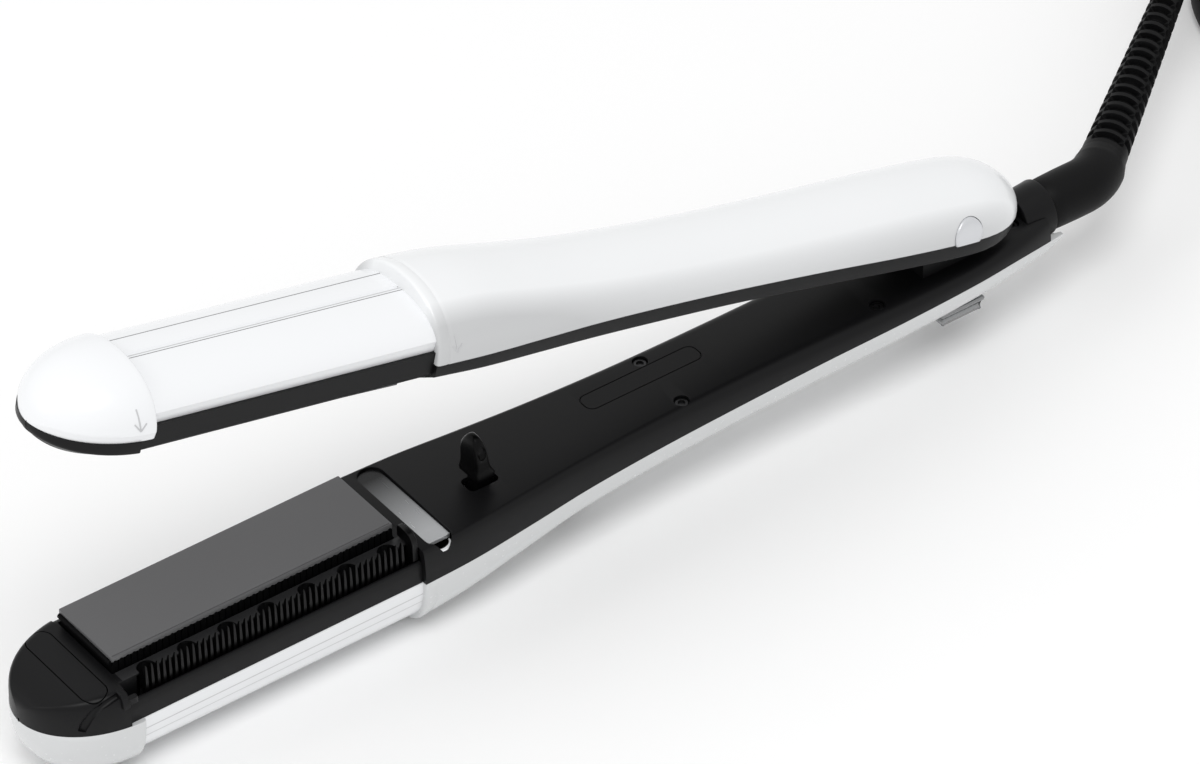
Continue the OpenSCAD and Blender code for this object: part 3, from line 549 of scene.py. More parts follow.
# Half barrels and their fine lines of painted shade
def barrel(name, c, n, s, side, groove, arm, strip_high=0.0):
    """Half barrel along the plate. Its fine groove has a place along the arc, a half width and a depth."""
    out = edge_band(BARREL_B, c, n, 240, strip_high, 0.5) if strip_high else dome(BARREL_B, c, n, 240)
    step = np.gradient(out, axis=0)
    normal = np.column_stack([step[:, 1], -step[:, 0]])
    normal /= np.maximum(1e-9, np.linalg.norm(normal, axis=1))[:, None]
    run = np.concatenate([[0], np.cumsum(np.linalg.norm(np.diff(out, axis=0), axis=1))])
    centre, half, deep = groove
    depth = deep * np.clip(1.6 - np.abs(run - centre) / half * 1.6, 0, 1)
    out = out - normal * depth[:, None]
    section = np.vstack([out, dome(BARREL_B - 2, c - 2, n, len(out) - 1)[::-1]])
    section[:, 1] = s + side * section[:, 1]
    rings = [slice_at(section, x) for x in np.linspace(TIP_X, RING_X, 4)]
    return mesh(name, *loft(rings), [WHITE], arm, sharp=24)


lower_barrel = barrel("lower_barrel_skin", LOW_DOME, LOWER_N, -LOW_SEAM, -1, (6.5, 0.35, 0.3), "lower")
finish_piece(lower_barrel, "lower_arm", ["lower_barrel"])
upper_barrel = barrel("upper_barrel_skin", UP_DOME, UPPER_N, UP_SEAM, 1, (22.3, 0.4, 0.5), "upper", 3.2)
finish_piece(upper_barrel, "upper_arm", ["upper_barrel"])


def groove_shade_line(name, c, n, s, side, y, width, arm, body, mat):
    """Fine line of painted shade along a barrel at the distance y from its middle."""
    def rise(q):
        return s + side * c * (1 - min(1.0, abs(q) / BARREL_B) ** n) ** (1 / n)

    a, b = y - width / 2, y + width / 2
    corners = ((a, 0.05), (b, 0.05), (b, -0.4), (a, -0.4))
    section = np.array([(q, rise(q) + proud * side) for q, proud in corners])
    rings = [slice_at(section, x) for x in (TIP_X - 0.2, RING_X + 0.2)]
    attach(mesh(name, *tube(rings), [mat], arm, sharp=24), body)


# The fine lines are painted shade: dark and mid grey strips for the shade in the barrels' grooves and
# steps
for i, (y, width) in enumerate(UPPER_SHADE_LINES):
    mat = PRINT_AND_SHADE if i == 1 else GROOVE_SHADE
    groove_shade_line(f"upper_shade_line_{i}", UP_DOME, UPPER_N, UP_SEAM, 1, y, width, "upper", "upper_arm", mat)
for i, (y, width) in enumerate(LOWER_SHADE_LINES):
    groove_shade_line(f"lower_shade_line_{i}", LOW_DOME, LOWER_N, -LOW_SEAM, -1, y, width, "lower", "lower_arm", PRINT_AND_SHADE)


# Dark side of the lower arm
def shoulder(b, d, f, n, k, crease):
    """Half of a section, from the seam up to the flat face."""
    a = np.linspace(math.pi / 2, 0, k)
    y = f + (b - f) * np.sin(a) ** (2 / n)
    z = -d * (1 - np.cos(a) ** (2 / n))
    u = (y - f) / max(0.01, b - f)
    return np.column_stack([y, z - crease * (y - f) * (1 - u)])


def dark_ring(x, b, d, f):
    """Section of the inner cover: half width b, seam at the depth d, flat face of half width f."""
    wall, n, k = 1.8, 2.6, 22
    out = shoulder(b, d, f, n, k, 0.10)
    inner = shoulder(max(0.5, b - wall), d, max(0.2, f - wall), n, k, 0)
    inner[:, 1] = np.minimum(inner[:, 1] - wall, 0) if d > wall + 1 else inner[:, 1] * 0.5 - 0.5 * d
    inner[:, 1] = np.maximum(inner[:, 1], -d)
    return slice_at(np.vstack([mirror(out), mirror(inner)[::-1]]), x)


# Inner cover of the lower handle
rings = []
for x in list(np.linspace(93.1, 308, 78)) + [310, 312, 314]:
    b, seam, flat = (station(LOWER, x, i) for i in (1, 3, 4))
    rings.append(dark_ring(x, b - 0.2, seam - 0.05, flat))
cover = mesh("lower_cover", *loft(rings), [BLACK], sharp=20)
cut(cover, [
    prism(rounded(*STRIP_SLOT, SLOT_R), THROUGH),
    prism(rounded(*STRIP_SLOT_END, SLOT_R), [(-2.9, 0), (2, 0)]),
    prism(rounded(*TRIGGER_SLOT, 1.6), THROUGH),
    prism(rounded(*BRACKET_SLOT, 1.0), THROUGH),
    band(rounded(*INLAY, 2.6), 0.32, -0.6, 1),
] + [prism(disc(x, y, 2.25, 32), [(-3, 0), (1, 0)]) for x, y in SCREWS] + [cord_way], sharp=20)
finish_piece(cover, "lower_arm", ["lower_inner_cover"])

# Dark land round the plate: its near side carries the low wall of the comb channel
far_side = shoulder(BARREL_B - 0.25, LOW_SEAM, 14.5, 3.6, 26, 0)
near_side = np.array([
    (-(BARREL_B - 0.25), -LOW_SEAM), (-18.75, -9.0), (-18.7, -7.0), (-18.55, -5.6), (-18.3, -4.8),
    (-17.9, -4.35), (-17.4, -4.25), (-17.2, -4.5), (-17.1, -9.0), (-13.9, -9.0), (-13.9, -0.25),
    (-13.65, 0.0),
])
underside = [(-17.0, -LOW_SEAM), (-16.4, -10.6), (-9.6, -10.6), (-9.6, -3.0), (17, -3.0), (17, -LOW_SEAM)]
section = np.vstack([far_side, near_side[::-1], underside])
land = mesh("lower_land", *tube([slice_at(section, x) for x in (FRAME_X, RING_X)]), [BLACK], sharp=22)
hole = prism(rounded(-0.35, PLATE_L + 0.35, PLATE_Y - 12.9, PLATE_Y + 12.9, 0.5), [(-12, 0), (2, 0)])
niches = [
    prism(disc(PLATE_L / NICHES * (i + 0.5) + 2, -13.4, 2.8, 40), [(-9, 0), (2, 0)]) for i in range(NICHES)
]
cut(land, [hole] + niches, sharp=22)
finish_piece(land, "lower_arm", ["lower_plate_frame"])
# Thin sheet of the lighter black laid on the ledge between the niches: painted light where the ledge lies
# in shade
ledge = prism(rounded(0.4, 92.2, -13.85, -10.25, 0.2, 3), [(-0.6, 0), (0.06, 0)])
ledge_light_sheet = mesh("ledge_painted_light", *ledge, [LIT_BLACK], sharp=22)
cut(ledge_light_sheet, niches, sharp=22)
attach(ledge_light_sheet, "lower_arm")


# Dark tip, with the comb's groove and latch
def tip_section(x):
    """Section of the tip, which falls away toward its front."""
    t = math.sqrt(max(0.0, 1 - ((TIP_X - x) / TIP_L) ** 2))
    b, d = max(0.4, TIP_B * t - 0.25), (LOW_SEAM - 0.05) * t**0.35
    out = shoulder(b, d, b * 0.765, 3.2, 40, 0)
    inner = out * [0.86, 1.0]
    inner[:, 1] = np.maximum(inner[:, 1] - 1.6, -d)
    return slice_at(np.vstack([mirror(out), mirror(inner)[::-1]]) + [0, d - LOW_SEAM + 0.05], x)


tip_xs = [FRAME_X] + [TIP_X - TIP_L * math.sin(math.radians(a)) for a in np.linspace(11, 89, 50)]
tip = mesh("lower_tip", *loft([tip_section(x) for x in tip_xs]), [BLACK], sharp=24)
groove_path = [
    (4.0, -17.2, -0.8), (-1.2, -17.3, -0.5), (-5.0, -17.4, -1.0), (-8.5, -17.4, -1.9),
    (-10.6, -17.2, -3.0), (-12.3, -16.6, -5.0), (-13.5, -15.9, -7.4), (-14.1, -15.6, -9.2),
]
groove_radii = np.array([0.9, 0.9, 0.95, 1.05, 1.2, 1.3, 1.3, 1.1])
cut(tip, [
    band(rounded(*TIP_INLAY, 3.99, 14), 0.32, -3.2, 1),
    tube(pipe(groove_path, groove_radii, 20)),
], sharp=24)
latch = np.array([
    (-16.3, 0.25), (-18.4, 0.1), (-19.4, -0.8), (-20.0, -2.6), (-20.0, -4.3), (-18.0, -4.3), (-16.3, -2.0),
])
cut(tip, [
    prism(latch, [(-3.4, 0.2), (-3.2, 0), (-1.5, 0), (-1.3, 0.2)], "x"),
    prism(rounded(-1.6, 1.2, -20.0, -18.4, 0.4, 4), [(-3.4, 0), (-1.5, 0), (-1.3, 0.15)]),
], how="UNION", sharp=24)
finish_piece(tip, "lower_arm", ["lower_tip_frame"])

# Heated plate: coated top sheet with a scalloped lower edge over its dark carrier; the carrier and the
# edge are darkened further with painted shade
y0, y1 = PLATE_Y - PLATE_W / 2, PLATE_Y + PLATE_W / 2
plate_outline = rounded(0, PLATE_L, y0, y1, 0.35, 4)
sheet = prism(plate_outline, [(3.55, 0), (PROUD - 0.3, 0), (PROUD - 0.08, 0.08), (PROUD, 0.3)])
plate = mesh("lower_plate_top", *sheet, [PLATE], sharp=40)
groove = np.array([
    (0.5, y0 + 0.62), (PLATE_L - 0.5, y0 + 0.62), (PLATE_L - 0.5, y0 + 0.80), (0.5, y0 + 0.80),
])
cut(plate, [prism(groove, [(PROUD - 0.35, 0), (PROUD + 1, 0)])], sharp=40)
carrier = prism(rounded(0.15, PLATE_L - 0.1, y0 + 0.45, y1 - 0.3, 0.4, 4), [(-3, 0), (3.6, 0)])
under = mesh("lower_plate_carrier_skin", *carrier, [SHADED_BLACK], sharp=40)
nose_ys = (y0 + 0.4, y0 + 0.7, y1 - 0.9, y1 - 0.7)
nose = prism(disc(-0.25, 3.15, 0.7, 24, 0.8), [(y, 0) for y in nose_ys], "y")
cut(under, [nose], how="UNION", sharp=40)
scallops = []
for i in range(SCALLOPS):
    middle = 1.0 + 2.0 * i
    arc = np.array([
        (middle + 0.82 * math.cos(t), y0 - 0.05, 2.6 + 1.25 * math.sin(t))
        for t in np.linspace(math.pi, 0, 13)
    ])
    low = arc * [1, 1, 0] + [0, 0, -2.5]
    ring = np.vstack([arc, low[::-1]])
    scallops.append(tube([ring, ring + [0, 0.7, 0]]))
edge = mesh("lower_plate_edge", *join(scallops), [SHADED_BLACK], sharp=40)
for obj in (plate, under, edge):
    finish_piece(obj, "lower_plate_carrier", ["lower_plate"])

# Comb: tapered teeth on a strip, with an upright clip at its rear end. A tooth's levels give height,
# half thickness, near side and far side.
TOOTH_LEVELS = (
    (-6.7, 0.50, -16.45, -14.5), (-2.0, 0.42, -16.4, -14.7), (1.5, 0.32, -16.25, -15.1),
    (2.8, 0.24, -16.1, -15.5), (3.2, 0.1, -15.95, -15.7),
)
strip_outline = rounded(COMB_FRONT, COMB_REAR, -16.7, -14.3, 0.3, 3)
shapes = [prism(strip_outline, [(-8.7, 0), (-6.75, 0), (-6.6, 0.12)])]
pitch = TOOTH_RUN / TEETH
for i in range(TEETH):
    x = TOOTH_X + i * pitch
    rings = []
    for z, w, ya, yb in TOOTH_LEVELS:
        rings.append(np.array([(x - w, ya, z), (x + w, ya, z), (x + w, yb, z), (x - w, yb, z)]))
    shapes.append(tube(rings))
clip = np.array([
    (-16.9, -6.7), (-16.9, -4.1), (-17.6, -3.6), (-17.6, 1.6), (-17.1, 3.2), (-16.1, 4.3), (-14.8, 4.8),
    (-11.4, 4.8), (-10.6, 4.5), (-10.3, 3.8), (-10.3, 0.9), (-14.4, 0.6), (-14.4, -6.7),
])
shapes.append(prism(clip, [(90.9, 0.12), (91.0, 0), (92.5, 0), (92.6, 0.12)], "x"))
comb = mesh("comb_row", *join(shapes), [TOOTH], sharp=35)
finish_piece(comb, "comb_body", ["comb"])

# Steam outlet bar, darkened with painted shade
bar = prism(rounded(COMB_FRONT, COMB_REAR, -13.9, -11.1, 0.2, 3), [(-9, 0), (-0.6, 0)])
outlet = mesh("outlet_bar", *bar, [SHADED_BLACK], sharp=35)
cut(outlet, niches, sharp=35)
finish_piece(outlet, "lower_arm", ["steam_outlet_bar"])

# Strip in its slot, bright at its near end and darkened towards its far end with painted shade, with the
# pale rim that shows at the slot's near end
blade = prism(rounded(96.15, 103.85, -16.6, 17.9, 0.4, 4), [(-2, 0), (-0.95, 0), (-0.8, 0.15)])
metal = mesh("heat_strip_plate", *blade, [STRIP], sharp=35)
finish_piece(metal, "lower_arm", ["heat_strip"])
sickle = []
for y, wide, high, turns in ((-16.0, 3.8, 3.75, (200, 350)), (-15.4, 3.5, 3.3, (345, 205))):
    for t in np.radians(np.linspace(*turns, 24)):
        sickle.append((100 + wide * math.cos(t), y + high * math.sin(t)))
rim_levels = [(-3.2, 0), (-2.75, 0), (-2.6, 0.08)]
rim = mesh("strip_end_rim", *prism(np.array(sickle), rim_levels), [WHITE], sharp=35)
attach(rim, "lower_arm")

# Trigger: a curved neck with a broad upright paddle, which has a dimple in its near side
neck = np.array([
    (115.2, -5), (116.2, -3.8), (118.4, -3.0), (119.8, -1.0), (120.0, 4.0), (123.4, 4.0), (124.6, 0.0),
    (125.8, -3.0), (126.4, -6.0), (126.0, -8.2), (122.0, -8.6), (118.5, -6.4), (115.4, -6.2),
])
trigger = mesh("trigger_finger", *prism(neck, [(-6.6, 0), (-2.2, 0)], "y"), [FINGER], sharp=50)
# Levels of the paddle: height, front, rear, and how far it stands out at each side
PADDLE = (
    (3.0, 119.2, 124.4, -0.5), (3.3, 118.7, 125.0, 0.0), (4.3, 118.7, 125.1, 0.05),
    (5.2, 118.9, 124.5, -0.15), (6.6, 119.0, 123.8, -0.35), (8.6, 119.0, 123.4, -0.35),
    (10.8, 119.0, 123.1, -0.4), (12.8, 119.1, 122.8, -0.8), (14.5, 119.4, 122.5, -1.7),
    (15.7, 119.8, 122.1, -2.7), (16.2, 120.4, 121.6, -3.6),
)
rings = []
for z, x_front, x_back, out in PADDLE:
    corner = min(1.1, (x_back - x_front) * 0.45)
    rings.append(slice_at(rounded(x_front, x_back, -8.45 - out, 0.65 + out, corner, 6), z, "z"))
cut(trigger, [tube(rings)], how="UNION")
dimple = [
    slice_at(disc(121.0, 12.3, r, 32, 1.6 * r), y, "y")
    for y, r in ((-9.6, 1.75), (-7.7, 1.45), (-7.0, 0.9))
]
cut(trigger, [tube(dimple)])
round_edges(trigger, 0.35)
finish_piece(trigger, "trigger", ["steam_trigger"])

# Screws of the face
HEAD_LEVELS = [(-2, 0), (-0.85, 0), (-0.7, 0.25), (-0.7, 0.9), (-1.3, 0.95)]
heads = [prism(disc(x, y, 2.0, 36), HEAD_LEVELS) for x, y in SCREWS]
screws = mesh("screw_heads", *join(heads), [SCREW], sharp=30)
finish_piece(screws, "lower_arm", ["face_screws"])

# Lock slider: dished metal pad
pad = prism(rounded(276.6, 292, -9.2, 9.2, 0.9, 6), [
    (-16.4, 0.4), (-16.9, 0), (-17.4, 0.1), (-18.3, 0.9), (-19.4, 1.3),
    (-20.3, 1.2), (-20.7, 0.9), (-21.0, 1.3), (-20.8, 2.2), (-20.2, 3.4),
])
slider = mesh("lock_pad", *pad, [LATCH], sharp=35)
stem = prism(rounded(280, 288, -3, 3, 0.4, 3), [(-16.2, 0), (-11, 0)])
cut(slider, [stem], how="UNION", sharp=35)
finish_piece(slider, "lock", ["lock_slider"])


# Hinge caps
def upper_side(x, z):
    """Half width of the upper casing at a height."""
    b, c, s = (station(UPPER, x, i) for i in (1, 2, 3))
    u = min(1.0, max(0.0, (z - s) / c))
    return b * (1 - u**UPPER_N) ** (1 / UPPER_N)


BUTTON_RINGS = (
    (BUTTON_R, -2.6), (BUTTON_R, 0.1), (4.78, 0.4), (4.5, 0.6), (3.4, 0.65), (2.0, 0.65), (0.8, 0.65),
)


def hinge_button(name, sign, node):
    """Cap that stands out of the casing's side, round with a flat foot."""
    rings = []
    for r, out in BUTTON_RINGS:
        ring = []
        for a in circle(64):
            x, z = HINGE_X + r * math.cos(a), BUTTON_Z + max(r * math.sin(a), -BUTTON_FLAT * r / BUTTON_R)
            ring.append((x, sign * min(17.4, upper_side(x, max(z, 12.9)) + out), z))
        rings.append(np.array(ring))
    rings[0][:, 1] = sign * 12.3
    finish_piece(mesh(name, *tube(rings), [SATIN], "upper", sharp=40), "upper_arm", [node])


hinge_button("hinge_button_near", -1, "hinge_cap_near")
hinge_button("hinge_button_far", 1, "hinge_cap_far")


# Hair direction arrows on the upper cap and ring
def cap_side(x, z):
    """Half width of the upper cap at a height."""
    t = math.sqrt(1 - max(0.0, (TIP_X - x) / TIP_L) ** 2)
    u = (1 - max(0.0, (TIP_X - x) / TIP_L) ** UPPER_N) ** (1 / UPPER_N)
    return TIP_B * t * (1 - min(1.0, (z - UP_TIP_SEAM) / (UP_TIP_DOME * u)) ** UPPER_N) ** (1 / UPPER_N)


def arrow(name, side, top, tip_point, spread):
    """Thin raised arrow on the near side, from top down to tip_point."""
    x, z = tip_point
    corners = ((-1, -0.12), (1, -0.12), (1, 0.3), (-1, 0.3))
    strokes = []
    for ax, az in (top, (x - spread, z + spread * 1.15), (x + spread, z + spread * 1.15)):
        run = math.hypot(x - ax, z - az)
        nx, nz = (z - az) / run * 0.2, -(x - ax) / run * 0.2
        rings = []
        for t in np.linspace(0, 1, 9):
            cx, cz = ax + (x - ax) * t, az + (z - az) * t
            y = -side(cx, cz)
            rings.append(np.array([(cx + way * nx, y + out, cz + way * nz) for way, out in corners]))
        strokes.append(tube(rings))
    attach(mesh(name, *join(strokes), [PRINT_AND_SHADE], "upper", sharp=30), "upper_arm")


arrow("cap_arrow", cap_side, (-2.5, 29.6), (-1.8, 24.2), 1.7)
arrow("ring_arrow", upper_side, (98.4, 28.6), (99.1, 24.2), 1.5)


# Dark side of the upper arm
def band_section(x, b, seam, low, face, drop, wall=1.8):
    """Straight band from the seam to its low edge, then a bevel in by drop to the inner face."""
    foot = max(0.4, b - drop)
    out = [(b, seam), (b, low + 0.7), (b - 0.12, low + 0.25), (b - 0.5, low - 0.1), (b - 1.1, low - 0.4)]
    for t in (0.25, 0.5, 0.75, 1.0):
        out.append((b - 1.1 + (foot - b + 1.1) * t, (low - 0.4) + (face + 0.5 - low + 0.4) * t))
    out += [(foot - 0.5, face + 0.12), (foot - 1.2 if foot > 1.6 else foot * 0.3, face)]
    out = np.array(out)
    inner = out - [min(wall, b * 0.4), 0]
    inner[:, 0] = np.maximum(inner[:, 0], 0.15)
    inner[:, 1] = np.minimum(out[:, 1] + min(wall, 0.6 * max(0.5, seam - face)), seam)
    return slice_at(np.vstack([mirror(out), mirror(inner)[::-1]]), x)


# Inner cover of the upper handle, with pockets for the trigger and the hinge
rings = []
for x in list(np.linspace(93.1, 285, 70)) + [288, 291, 293, 295, 297, 299, 301, 302.6, 304, 305.2]:
    b, seam, low, face = (station(UPPER, x, i) for i in (1, 3, 4, 5))
    rings.append(band_section(x, max(1.2, b - 0.4), seam - 0.05, low, face, 6.6))
upper_cover = mesh("upper_cover", *loft(rings), [BLACK], "upper", sharp=24)
cut(upper_cover, [
    prism(rounded(110, 130, -9.6, 1.4, 1.5), [(2, 0), (18, 0)]),
    prism(rounded(264, 299, -9.2, 9.2, 1.0), [(0, 0), (30, 0)]),
], "upper", sharp=24)
finish_piece(upper_cover, "upper_arm", ["upper_inner_cover"])

# Dark frame round the upper plate
section = np.array([
    (-18.75, UP_SEAM), (-18.75, UP_BAND + 0.6), (-18.5, UP_BAND + 0.1), (-18.0, UP_BAND - 0.5),
    (-12.9, UP_INNER + 0.3), (-12.3, UP_INNER), (16.6, UP_INNER), (17.1, UP_INNER + 0.3),
    (18.5, UP_BAND - 0.4), (18.75, UP_BAND + 0.4), (18.75, UP_SEAM),
    (16.6, UP_SEAM), (16.6, 17.6), (-16.6, 17.6), (-16.6, UP_SEAM),
])
rings = [slice_at(section, x) for x in (FRAME_X, RING_X)]
upper_land = mesh("upper_land", *tube(rings), [BLACK], "upper", sharp=24)
hole = prism(rounded(-0.6, PLATE_L + 0.6, PLATE_Y - 12.8, PLATE_Y + 12.8, 0.5), [(8, 0), (19, 0)])
cut(upper_land, [hole], "upper", sharp=24)
finish_piece(upper_land, "upper_arm", ["upper_plate_frame"])


# Dark tip of the upper arm
def upper_tip_section(x):
    """Section of the upper tip, whose band gets lower toward its front."""
    t = math.sqrt(max(0.0, 1 - ((TIP_X - x) / TIP_L) ** 2))
    low = UP_TIP_SEAM - 3.7 * t**0.4
    b = max(0.7, TIP_B * t - 0.25)
    face = min(low - 0.8, UP_TIP_SEAM - 7.6 * t**0.7)
    return band_section(x, b, UP_TIP_SEAM - 0.05, low, face, 6.0 * t + 0.5, 1.4)


upper_tip = mesh("upper_tip", *loft([upper_tip_section(x) for x in tip_xs]), [BLACK], "upper", sharp=30)
finish_piece(upper_tip, "upper_arm", ["upper_tip_frame"])

# Upper heated plate
low = PROUD + 0.15
sheet = prism(plate_outline, [(12.8, 0), (low + 0.3, 0), (low + 0.08, 0.08), (low, 0.3)])
upper_plate = mesh("upper_plate_face", *sheet, [PLATE], "plate", sharp=40)
finish_piece(upper_plate, "upper_plate_carrier", ["upper_plate"])

# Socket: place along the arm and radius of each ring
SOCKET = (
    (308, 7.5), (308.2, 7.7), (314, 8.1), (317.4, 8.35), (317.85, 8.25), (318, 8.0),
    (318, 5.1), (310.2, 5.1),
)
rings = [slice_at(disc(0, CORD_Z, r, 64), x) for x, r in SOCKET]
socket = mesh("socket_ring", *tube(rings), [BLACK], sharp=35)
finish_piece(socket, "lower_arm", ["cord_socket"])

# Elbow, which leans to the point where the cord leaves the boot
end_x, end_y = BEND_X + BOOT_END * math.cos(BEND_A), BOOT_END * math.sin(BEND_A)
lean = math.atan2(end_y, end_x - BOOT_X)
back = BEND_R * math.tan(lean / 2)
path = [(318.3, 0, CORD_Z), (319.0, 0, CORD_Z), (322, 0, CORD_Z), (327, 0, CORD_Z)]
for t in np.linspace(0, lean, 14):
    path.append((BOOT_X - back + BEND_R * math.sin(t), BEND_R * (1 - math.cos(t)), CORD_Z))
for along in np.linspace(back + 0.6, BOOT_START, 4):
    path.append((BOOT_X + along * math.cos(lean), along * math.sin(lean), CORD_Z))
radii = np.interp(np.arange(len(path)), [0, 1, 3, len(path) - 5, len(path) - 1], [7.2, 7.6, 7.8, 7.5, 6.9])
elbow = mesh("elbow", *tube(pipe(path, radii, 48)), [RUBBER], sharp=40)
finish_piece(elbow, "swivel_cord", ["swivel_elbow"])

# Slotted boot: every second column of slots is moved on by half a pitch
length = math.hypot(end_x - BOOT_X, end_y) - BOOT_START
pitch, first, rows = 4.5, 3.6, 16
around = circle(128)
boot_rings = []
for s in np.linspace(0, length, 520):
    sink = np.zeros(len(around))
    for column in range(4):
        row = (s - first) / pitch + (0.0 if column % 2 else 0.5)
        f = row - math.floor(row)
        if 0 <= row < rows:
            away = (around - math.radians(98 + 90 * column) + math.pi) % (2 * math.pi) - math.pi
            past_side = np.maximum(0, np.abs(away) - 0.6) / 0.16
            reach = np.hypot(past_side, np.maximum(0, abs(f - 0.5) - 0.2) / 0.12)
            sink = np.maximum(sink, np.clip((1.05 - reach) / 0.25, 0, 1))
    r = 6.7 - 2.3 * s / length - 0.4 * max(0.0, s - length + 0.6) / 0.6
    rr = r - 1.7 * sink
    x = BOOT_X + (BOOT_START + s) * math.cos(lean)
    y = (BOOT_START + s) * math.sin(lean)
    out = np.cos(around) * rr
    boot_rings.append(np.column_stack([
        x - out * math.sin(lean), y + out * math.cos(lean), CORD_Z + np.sin(around) * rr,
    ]))
boot = mesh("boot", *tube(boot_rings), [RUBBER], sharp=40)
finish_piece(boot, "swivel_cord", ["cord_boot"])

# Cord: the route in part.scad, straight out of the boot, then a coil and a short tail
CORD_D = 6.8
EXIT = np.array([end_x, end_y, FACE + CORD_Z])
DIR = np.array([math.cos(BEND_A), math.sin(BEND_A), 0.0])
ASIDE = np.array([DIR[1], -DIR[0], 0.0])
# Way along the cord from its exit, and how far it has sunk there
LEAD = [
    (0, 0), (5, -0.03), (10, -0.15), (16, -0.45), (22, -0.85), (28, -1.2), (33, -1.37),
    (36, -1.4), (38, -1.4),
]
COIL_R, LAYERS, TURNS = 51.0, 4, 2.2875
PITCH = CORD_D + 0.6
centre = EXIT + (LEAD[-1][0] + CORD_D) * DIR + COIL_R * ASIDE
START_A = math.radians(38 + 90)


def ramp(v):
    """Smooth step from 0 to 1."""
    c = max(0.0, min(1.0, v))
    return c * c * (3 - 2 * c)


def coil_point(t):
    """Point of the coil after t turns, which lie in layers from the top down."""
    u = t / TURNS
    k = math.floor(u)
    f = u - k if k % 2 == 0 else 1 - (u - k)
    r = COIL_R - PITCH * TURNS * f
    h = sum(PITCH * ramp((t - i * TURNS + 0.25) * 2) for i in (1, 2, 3))
    a = START_A - 2 * math.pi * t
    return np.array([centre[0] + r * math.cos(a), centre[1] + r * math.sin(a), CORD_D / 2 + 3 * PITCH - h])


steps = math.ceil(24 * LAYERS * TURNS)
coil = [coil_point(LAYERS * TURNS * i / steps) for i in range(steps + 1)]
END_A = START_A - 2 * math.pi * LAYERS * TURNS
END_DIR = np.array([math.sin(END_A), -math.cos(END_A), 0.0])
TAIL = [(0, 0), (5, 0.1), (10, 0.7), (15, 1.8), (20, 2.9), (25, 3.5), (30, 3.6)]
coil_out = coil[-1] + CORD_D * END_DIR
fall = [EXIT + s * DIR + np.array([0, 0, z]) for s, z in LEAD]
tail = [coil_out + s * END_DIR + np.array([0, 0, z]) for s, z in TAIL]


def cord_curve(name, points, radius):
    """Round cord along points, with handles a third of the way to the next."""
    data = bpy.data.curves.new(name, "CURVE")
    data.dimensions = "3D"
    data.bevel_depth = radius * 0.001
    data.bevel_resolution = 6
    data.resolution_u = 6
    data.use_fill_caps = True
    spline = data.splines.new("BEZIER")
    p = np.array(points) * 0.001
    spline.bezier_points.add(len(p) - 1)
    for i, knot in enumerate(spline.bezier_points):
        a, b = p[max(0, i - 1)], p[min(len(p) - 1, i + 1)]
        t = (b - a) / np.linalg.norm(b - a)
        knot.co = p[i]
        knot.handle_left_type = knot.handle_right_type = "FREE"
        before = np.linalg.norm(p[i] - p[max(0, i - 1)]) / 3
        after = np.linalg.norm(p[min(len(p) - 1, i + 1)] - p[i]) / 3
        knot.handle_left, knot.handle_right = p[i] - t * before, p[i] + t * after
    data.materials.append(RUBBER)
    obj = bpy.data.objects.new(name, data)
    bpy.context.scene.collection.objects.link(obj)
    return obj, p


lead_points = fall + coil + [coil_out] + tail[1:]
lead, lead_p = cord_curve("lead", lead_points, CORD_D / 2)
finish_piece(lead, "swivel_cord", ["cord", "cord_coil", "cord_tail"])

# Plug: where its grip starts, and its directions
at = np.array([coil_out[0], coil_out[1], 7.0]) + 30 * END_DIR
across = np.array([-END_DIR[1], END_DIR[0], 0.0])
up = np.array([0, 0, 1.0])
# The grip's rings: way along it, half width, half height and power of the superellipse
GRIP = (
    (0, 4.2, 4.2, 2), (0.4, 4.6, 4.6, 2), (6, 5.2, 5.1, 2), (12, 6.2, 5.8, 2.1), (15, 8.0, 6.4, 2.3),
    (19, 10.4, 6.8, 2.8), (24, 12.2, 6.95, 3.4), (30, 12.9, 7, 4), (35, 12.9, 7, 4), (35.7, 12.7, 6.8, 4),
    (36, 12.2, 6.3, 4),
)


def plug_ring(s, half_wide, half_high, n):
    """Ring of the grip, s along the plug from its start."""
    t = circle(48)
    y = half_wide * np.sign(np.cos(t)) * np.abs(np.cos(t)) ** (2 / n)
    z = half_high * np.sign(np.sin(t)) * np.abs(np.sin(t)) ** (2 / n)
    return at + s * END_DIR + y[:, None] * across + z[:, None] * up


plug_rings = [plug_ring(*row) for row in GRIP]
plug = mesh("plug_grip", *tube(plug_rings), [RUBBER], "table", sharp=40)
finish_piece(plug, "swivel_cord", ["plug_body"])
# Plug pins: way along the plug and radius of each ring
PIN = ((36, 2), (54, 2), (54.7, 1.7), (55, 1.1))
PIN_SIDE = 9.3
t = circle(28)
shapes = []
for side in (-1, 1):
    rings = []
    for s, r in PIN:
        middle = at + s * END_DIR + side * PIN_SIDE * across
        rings.append(middle + (r * np.cos(t))[:, None] * across + (r * np.sin(t))[:, None] * up)
    shapes.append(tube(rings))
pins = mesh("plug_contacts", *join(shapes), [STEEL], "table", sharp=40)
finish_piece(pins, "swivel_cord", ["plug_pins"])

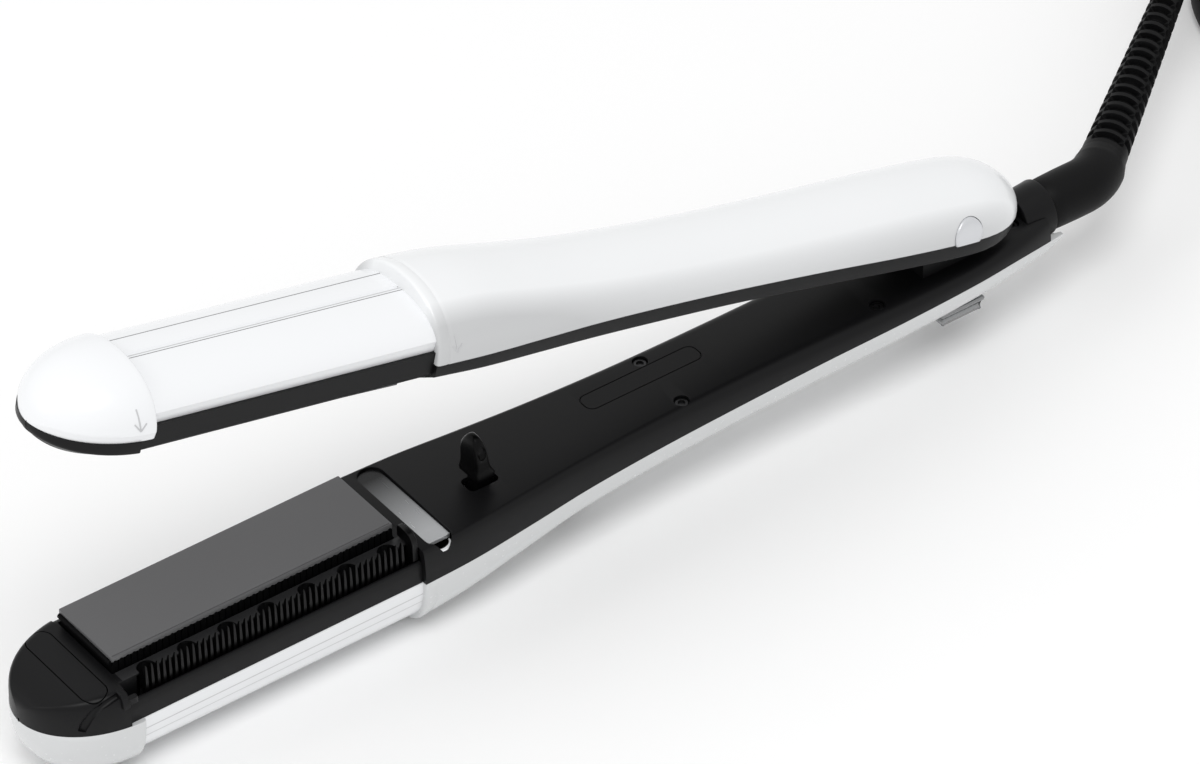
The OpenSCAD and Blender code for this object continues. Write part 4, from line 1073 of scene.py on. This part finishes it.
# Band round the coil's turns
inner, outer, top = COIL_R - PITCH * TURNS - CORD_D / 2, COIL_R + CORD_D / 2, CORD_D + 3 * PITCH
loop_in = rounded(inner - 0.05, outer + 0.05, 0.02, top + 0.6, 1.2, 6)
loop_out = rounded(inner - 1.4, outer + 1.4, 0.0, top + 2, 1.8, 6)
tie_a = START_A - math.radians(168)
ca, sa = math.cos(tie_a), math.sin(tie_a)
rings = []
for w, loop in ((-4, loop_in), (-4, loop_out), (4, loop_out), (4, loop_in)):
    q, z = loop[:, 0], loop[:, 1]
    rings.append(np.column_stack([centre[0] + q * ca - w * sa, centre[1] + q * sa + w * ca, z]))
tie = mesh("coil_band", *closed(rings), [RUBBER], "table", sharp=40)
finish_piece(tie, "swivel_cord", ["coil_tie"])

# Finishes of the CAD nodes left in view
LOOKS = {
    "lower_chassis": INNER, "lower_heater": FILM, "lower_plate_springs": STEEL, "steam_chamber": ALLOY,
    "trigger_pin": STEEL, "pump": INNER, "pump_plunger": INNER, "steam_pipes": INNER, "water_tank": TANK,
    "tank_plug": RUBBER, "control_board": BOARD, "hinge_bracket": BLACK, "hinge_spring": STEEL,
    "hinge_pin": STEEL, "hinge_lugs": ALLOY, "upper_chassis": INNER, "upper_heater": FILM,
    "upper_plate_springs": STEEL, "upper_wiring": WIRE,
}
for node, mat in LOOKS.items():
    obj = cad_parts[node]
    obj.data.materials.clear()
    obj.data.materials.append(mat)

# Floor and light
FLOOR = material("floor", (0.93, 0.93, 0.93), 0.8, spec=0.1, vary=0.003, bump=0.0)
data = bpy.data.meshes.new("floor")
data.from_pydata(slice_at(disc(0.15, 0.0, 6.0, 64), 0.0, "z").tolist(), [], [tuple(range(64))])
data.materials.append(FLOOR)
floor = bpy.data.objects.new("floor", data)
bpy.context.scene.collection.objects.link(floor)

world = bpy.data.worlds.new("studio")
world.use_nodes = True
world.node_tree.nodes["Background"].inputs["Color"].default_value = (1, 1, 1, 1)
world.node_tree.nodes["Background"].inputs["Strength"].default_value = 0.74
bpy.context.scene.world = world


def lamp(name, where, target, size, power):
    """Round soft lamp that looks at a target."""
    data = bpy.data.lights.new(name, "AREA")
    data.shape = "DISK"
    data.size = size
    data.energy = power
    obj = bpy.data.objects.new(name, data)
    obj.location = where
    obj.rotation_mode = "QUATERNION"
    obj.rotation_quaternion = (Vector(where) - Vector(target)).to_track_quat("Z", "Y")
    bpy.context.scene.collection.objects.link(obj)


lamp("key", (-0.3, -0.7, 2.4), (0.16, 0.0, 0.03), 1.5, 22)
lamp("side", (-1.6, 0.6, 1.5), (0.16, 0.0, 0.03), 1.0, 7)

# Camera, fitted to the photograph: the point that it looks at, its distance and its three directions
LOOK_AT, DISTANCE = Vector((0.15666, -0.01263, 0.05239)), 2.35057
LENS = 263.5
roll = math.radians(0.696)
right = Vector((0.80868, -0.58825, 0.0))
upward = Vector((0.37489, 0.51537, 0.77064))
behind = Vector((-0.45333, -0.62320, 0.63729))
x_axis = right * math.cos(roll) - upward * math.sin(roll)
y_axis = right * math.sin(roll) + upward * math.cos(roll)
cam_data = bpy.data.cameras.new("camera")
cam_data.sensor_width = 36
cam_data.lens = LENS
cam_data.clip_end = 100
camera = bpy.data.objects.new("camera", cam_data)
spot = LOOK_AT + behind * DISTANCE
camera.matrix_world = Matrix((
    (x_axis.x, y_axis.x, behind.x, spot.x),
    (x_axis.y, y_axis.y, behind.y, spot.y),
    (x_axis.z, y_axis.z, behind.z, spot.z),
    (0, 0, 0, 1),
))
bpy.context.scene.collection.objects.link(camera)
bpy.context.scene.camera = camera
bpy.context.scene.view_settings.view_transform = "Standard"
